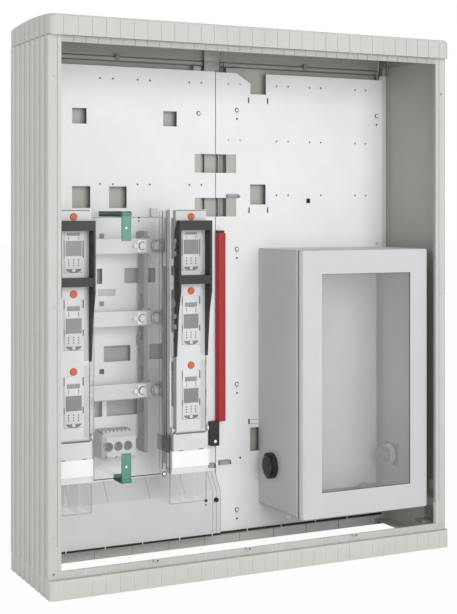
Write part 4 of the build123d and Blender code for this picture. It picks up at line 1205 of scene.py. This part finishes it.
# %% Painted shade and lugs
plate_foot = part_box("mounting_plate_right")[0][2]
panel_face, panel_foot = panel_low[1], panel_low[2] - 0.003
left_foot_shade = block(
    (-0.525, panel_face - 0.0008, panel_foot), (-0.002, panel_face - 0.0001, panel_foot + 0.0054)
)
right_foot_shade = block(
    (0.003, plate_front - 0.001, plate_foot - 0.004),
    (0.527, plate_front - 0.0001, plate_foot + 0.0018),
)
done("edge_rubber", [left_foot_shade, right_foot_shade], black_plastic)
half_lug, lug_proud, lug_edge = 0.0012, 0.0006, 0.0002
lugs = [
    mark((x - half_lug, x + half_lug), up, face, lug_proud, lug_edge)
    for places, up, face in (
        (mm(-433.2, -328.7, -225.8, -121.3, -27.2), (0.0385, 0.0485), panel_face - 0.0008),
        (mm(95, 199.5, 307.4, 410.6), (0.0315, 0.0405), plate_front - 0.001),
    )
    for x in places
]
done("locating_lugs", lugs, label_blank)

# %% [markdown]
# The rear beam of the base is moulded in fields. A thin joint divides each from the next.

# %% Beam joints
joint = mark((-0.4425, -0.4413), (0.002, 0.040), 0.146, 0.0004)
done("beam_joints", [row(joint, 10, mm(104.5, 0, 0))], line_grey)

# %% [markdown]
# ## Clips, eye and slot of the plates
# The cable clips end in a dark latch, and the bracket under the red bar has an eye with a
# bright ring. Each is a small block or disc just in front of the part it belongs to.

# %% Clip latches and eye
latches = [
    block(mm(-8.5, 117.2, 212.5), mm(-4, 118, 225.5)),
    block(mm(38, 117.4, 219), mm(41.5, 118, 229)),
    block(mm(60, 117.4, 938), mm(69, 118, 941)),
]
done("clip_latches", latches, black_plastic)
eye = disc(mm(-11, 105.4, 286), 0.0042, 0.0012)
done("bracket_eye", [eye], zinc_light)

# %% [markdown]
# A slotted hole with two scribed lines beside it takes a cable tie; the hole is a black block
# of painted shade. On the left plate two square plugs close spare holes, and between them
# lies a flat strap.

# %% Slot, plugs and strap
slot_mark = block(mm(98.5, 127.2, 321.5), mm(102.5, 128, 335), 0.0002)
done("tie_slot", [slot_mark], black_plastic)
plugs = [
    block(
        (-0.3308, plate_front + 0.0003, z - 0.0063),
        (-0.3182, plate_front + 0.0017, z + 0.0063),
        0.0005,
    )
    for z in mm(838.5, 662.7)
]
done("square_plugs", plugs, line_grey)
strap = mark((-0.3345, -0.2865), (0.682, 0.700), plate_front, 0.0008, 0.0003)
done("plate_strap", [strap], band_grey)
scribed = [line(mm(103.5, 127.7, z), mm(128, 128, z + 1.2)) for z in (321.5, 331.5)]
done("tie_lines", scribed, line_grey)

# %% [markdown]
# ## Green latches
# The arms that carry the latches are ribbed for grip along their length. The upper arm
# has a spine along its top edge as well.

# %% Arm grips
grip_depths = (-0.074, -0.070)


def arm_rib(face, depths, heights):
    """A raised rib on the left side of an arm."""
    return block((face - 0.0005, depths[0], heights[0]), (face, depths[1], heights[1]), 0.0002)


arm_low, arm_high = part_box("cover_arm_top")
rib = arm_rib(arm_low[0], grip_depths, (arm_low[2] + 0.0015, arm_low[2] + 0.0065))
ribs = row(rib, 24, mm(0, 6.2, 0))
spine = arm_rib(arm_low[0], (-0.075, 0.078), (arm_high[2] - 0.0035, arm_high[2] - 0.0015))
done("arm_grip_top", [ribs, spine], deep_green)
arm_low, arm_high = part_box("cover_arm_bottom")
rib = arm_rib(arm_low[0], grip_depths, (arm_low[2] + 0.002, arm_high[2] - 0.002))
done("arm_grip_bottom", [row(rib, 7, mm(0, 6.2, 0))], deep_green)

# %% [markdown]
# A bright seal rivet sits in each latch and folds away with it. Two small dark studs stand
# beside the upper latch.

# %% Rivets and studs
for end, z in (("top", 0.860), ("bottom", 0.280)):
    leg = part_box("cover_latch_" + end)[0]
    rivet = disc((-0.3415, leg[1] - 0.0003, z), 0.0029, 0.0008)
    done("seal_rivet_" + end, [rivet], zinc_light, "latch_" + end)
studs = [disc(mm(-306, -80.3, z), 0.0022, 0.0006) for z in (885, 877)]
done("cover_studs", studs, black_plastic)

# %% [markdown]
# ## Edges of the busbar cover
# The cover is bent from clear sheet, and only its cut edges catch the eye. Slim strips of
# painted shade along the edges of its front show them: a black one at the foot, and grey
# ones along both sides and the top.

# %% Cover edges
sheet_low, sheet_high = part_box("busbar_cover")
sheet_front, sheet_thick = sheet_low[1], 0.0022
whole_width = (sheet_low[0], sheet_high[0])


def cut_edge(across, up):
    """A slim strip over a cut edge of the cover's front."""
    return line((across[0], sheet_front - 0.0003, up[0]), (across[1], sheet_front + 0.0006, up[1]))


foot_edge_shade = cut_edge(whole_width, (sheet_low[2], sheet_low[2] + sheet_thick))
done("cover_foot_edge", [foot_edge_shade], black_plastic)
cut_shades = [
    cut_edge((x - 0.0005, x + 0.0005), (sheet_low[2], sheet_high[2]))
    for x in (sheet_low[0] + 0.0005, sheet_high[0] - 0.0005)
]
cut_shades.append(cut_edge(whole_width, (sheet_high[2] - sheet_thick, sheet_high[2])))
done("cover_side_edges", cut_shades, line_grey)

# %% [markdown]
# ## Blanking plug
# The plug is turned by hand, so its rim has grip ridges and its face a sunk middle. Each
# ridge is a small block, turned to its own angle about the plug's middle.

# %% Plug grip
plug_face, plug_y, plug_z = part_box("blanking_plugs")[0][0], 0.048, 0.220
ridge_count = 30
ridges = []
for number in range(ridge_count):
    ridge = block(
        (plug_face + 0.0015, plug_y - 0.0012, plug_z + 0.0325),
        (plug_face + 0.0145, plug_y + 0.0012, plug_z + 0.0343),
        0.0006,
    )
    turn(ridge, math.radians(360 / ridge_count * number), (0, plug_y, plug_z))
    ridges.append(ridge)
face_ring = disc((plug_face + 0.0002, plug_y, plug_z), 0.025, 0.0012, sideways, 0.0005)
pick(face_ring, lambda face: face.normal.x < -0.99)
bpy.ops.mesh.inset(thickness=0.004)
bpy.ops.transform.translate(value=(0.001, 0, 0))
bpy.ops.object.mode_set(mode="OBJECT")
done("plug_grip", ridges + [face_ring], plug_black)

# %% [markdown]
# ## Inside the window enclosure
# Behind the pane, the plug shows as a ring nut on the side wall, with a hub in its middle
# and a washer behind it. A second ring nut holds the cable gland in the floor.

# %% Enclosure fittings
nut_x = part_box("enclosure_back_plate")[1][0] + 0.018
nut = disc((nut_x - 0.0105, plug_y, plug_z), 0.029, 0.017, sideways, 0.0015)
done("plug_nut", [nut], switch_grey)
hub = disc((nut_x - 0.031, plug_y, plug_z), 0.022, 0.024, sideways, 0.002)
done("plug_hub", [hub], rib_grey)
floor_nut = disc(mm(446, 68, 122.5), 0.026, 0.028, upright, 0.001)
done("floor_gland_nut", [floor_nut], rib_grey)
washer = block(mm(508.6, 12, 188), mm(509.4, 84, 252), 0.0002)
done("plug_washer", [washer], rib_grey)

# %% [markdown]
# ## Outside of the window enclosure
# On the left side of the enclosure the folds are drawn in painted light and shade: a pale
# line of painted highlight on the rim of the case, a dark line of painted shade in the gap
# before the door, and a pale painted highlight on the edge of the door, which swings with it.

# %% Painted light and shade at the door's side
case_low, case_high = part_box("enclosure_body")
door_low, door_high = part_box("enclosure_door")


def side_line(low, high, near, far):
    """A thin line up the left side of a part, from one depth to another."""
    return line((low[0] - 0.0003, near, low[2] + 0.001), (low[0], far, high[2] - 0.001))


rim = side_line(case_low, case_high, -0.0905, -0.0865)
done("enclosure_rim", [rim], label_blank)
gap_shade = side_line(case_low, case_high, -0.1010, -0.0965)
done("enclosure_gap", [gap_shade], rib_grey)
edge = side_line(door_low, door_high, door_low[1] + 0.001, door_high[1] - 0.001)
done("door_edge", [edge], label_blank, "window_door")

# %% [markdown]
# A black rubber profile holds the pane in the door. Four slim strips follow the edge of
# the opening, and they ride on the door too.

# %% Pane rubber
left, right, foot, top = 0.186, 0.458, 0.172, 0.738
near, far = door_low[1] + 0.001, door_low[1] + 0.0024
rubber = [
    line((x0, near, z0), (x1, far, z1))
    for x0, x1, z0, z1 in (
        (left, right, foot, foot + 0.001),
        (left, right, top - 0.001, top),
        (left, left + 0.0008, foot, top),
        (right - 0.0014, right, foot, top),
    )
]
done("pane_rubber", rubber, seam_grey, "window_door")

# %% [markdown]
# ## Foot flanges
# The sides of the base turn inward at the foot, where they would stand on the plinth.

# %% Flanges
flange_in = 0.513
flange_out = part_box("side_wall_right")[1][0] - 0.010 - 0.003
flanges = []
for side in (-1, 1):
    left, right = sorted((side * flange_in, side * flange_out))
    flanges.append(block((left, -0.134, 0.013), (right, 0.1455, 0.017), 0.0008))
done("foot_flanges", flanges, polyester)

# %% [markdown]
# ## Tabs of the base
# Three small eyelets stand on the lip of the base, where the front panel hooks in. Their
# holes are black discs of painted shade.

# %% Base tabs
tabs, eyes = [], []
for x in mm(-287, -39, 269):
    tabs.append(block((x - 0.008, -0.1545, 0.0605), (x + 0.008, -0.1515, 0.0665), 0.0012))
    eyes.append(disc((x, -0.1548, 0.0625), 0.0022, 0.0012))
done("lip_tabs", tabs, polyester)
done("lip_eyes", eyes, black_plastic)
pieces_made = [o.name for o in bpy.data.objects if o.type == "MESH" and o.name not in nodes]
print("pieces made by hand:", len(pieces_made))

# %% [markdown]
# ## Floor, light and camera
# The cabinet stands on a wide, pale floor. Seen directly, the floor glows in white, so
# that only soft shadows are left of it, as on a product sheet.

# %% Floor
bpy.ops.object.select_all(action="DESELECT")
bpy.ops.mesh.primitive_plane_add(size=60)
floor = bpy.context.object
floor.name = "floor"
ground = Finish("studio_floor", Roughness=0.9)
dapple = ground.noise(2, 2, 0.5)
ground.feed(Base_Color=ground.blend(dapple, tone(240, 240, 240), tone(245, 245, 245)))
glow = ground.node("ShaderNodeEmission", inputs={"Color": (1, 1, 1, 1), "Strength": 1.0})
seen = ground.node("ShaderNodeLightPath", output="Is Camera Ray")
mixed = ground.node(
    "ShaderNodeMixShader",
    inputs={0: seen * 0.96, 1: Value(ground, ground.shader.outputs[0]), 2: glow},
)
ground.tree.links.new(mixed.socket, ground.tree.nodes["Material Output"].inputs["Surface"])
floor.data.materials.append(ground.material)
print("floor:", floor.name, "in", ground.material.name)

# %% [markdown]
# The world lights the scene evenly and softly. To the camera, and in what clear sheets and
# shiny metal show of it, it is plain white instead. Light Path tells these rays apart, so
# the white adds nothing to the light on matt surfaces.

# %% Backdrop
world = bpy.data.worlds.new("studio")
bpy.context.scene.world = world
world.use_nodes = True
sky = Tree(world.node_tree)
soft = sky.tree.nodes["Background"]
soft.inputs["Color"].default_value = (1, 1, 1, 1)
soft.inputs["Strength"].default_value = 0.42
white = sky.node("ShaderNodeBackground", inputs={"Color": (1, 1, 1, 1), "Strength": 1.0})
shown = sky.node("ShaderNodeLightPath", output="Is Camera Ray")
for ray in ("Is Transmission Ray", "Is Glossy Ray"):
    shown = shown.math("MAXIMUM", shown, sky.node("ShaderNodeLightPath", output=ray))
mix = sky.node("ShaderNodeMixShader", inputs={0: shown, 1: Value(sky, soft.outputs[0]), 2: white})
sky.tree.links.new(mix.socket, sky.tree.nodes["World Output"].inputs["Surface"])
print("world:", world.name)

# %% [markdown]
# A large soft box in front gives the main light, and a smaller one from the left models
# the ribs of the side wall.


# %% Soft boxes
def soft_box(name, place, aim, width, height, power):
    bpy.ops.object.light_add(type="AREA", location=place)
    lamp = bpy.context.object
    lamp.name = name
    lamp.data.shape = "RECTANGLE"
    lamp.data.size, lamp.data.size_y, lamp.data.energy = width, height, power
    toward = Vector(aim) - Vector(place)
    lamp.rotation_euler = toward.to_track_quat("-Z", "Y").to_euler()


soft_box("key_light", (0.15, -4.6, 1.5), (0, 0, 0.7), 3.2, 3.0, 140)
soft_box("side_light", (-4.2, 0.3, 1.1), (0, 0, 0.6), 2.4, 2.4, 46)

# %% [markdown]
# The camera stands in front, to the left of the cabinet, and looks along a level line. It
# is not tipped down. Its lens is shifted instead, so that upright edges stay upright.

# %% Camera
lens_mm, sensor_mm, turned = 77.34, 36.0, -26.82
bpy.ops.object.camera_add(location=(-1.5174, -3.0788, 0.9014))
camera = bpy.context.object
camera.rotation_euler = (math.radians(90), 0, math.radians(turned))
camera.data.lens, camera.data.sensor_width = lens_mm, sensor_mm
camera.data.shift_x, camera.data.shift_y = -0.035, -0.1564
bpy.context.scene.camera = camera
bpy.context.scene.view_settings.view_transform = "Standard"
print("camera at", tuple(round(c, 3) for c in camera.location))

# %% Finish
bpy.context.view_layer.update()
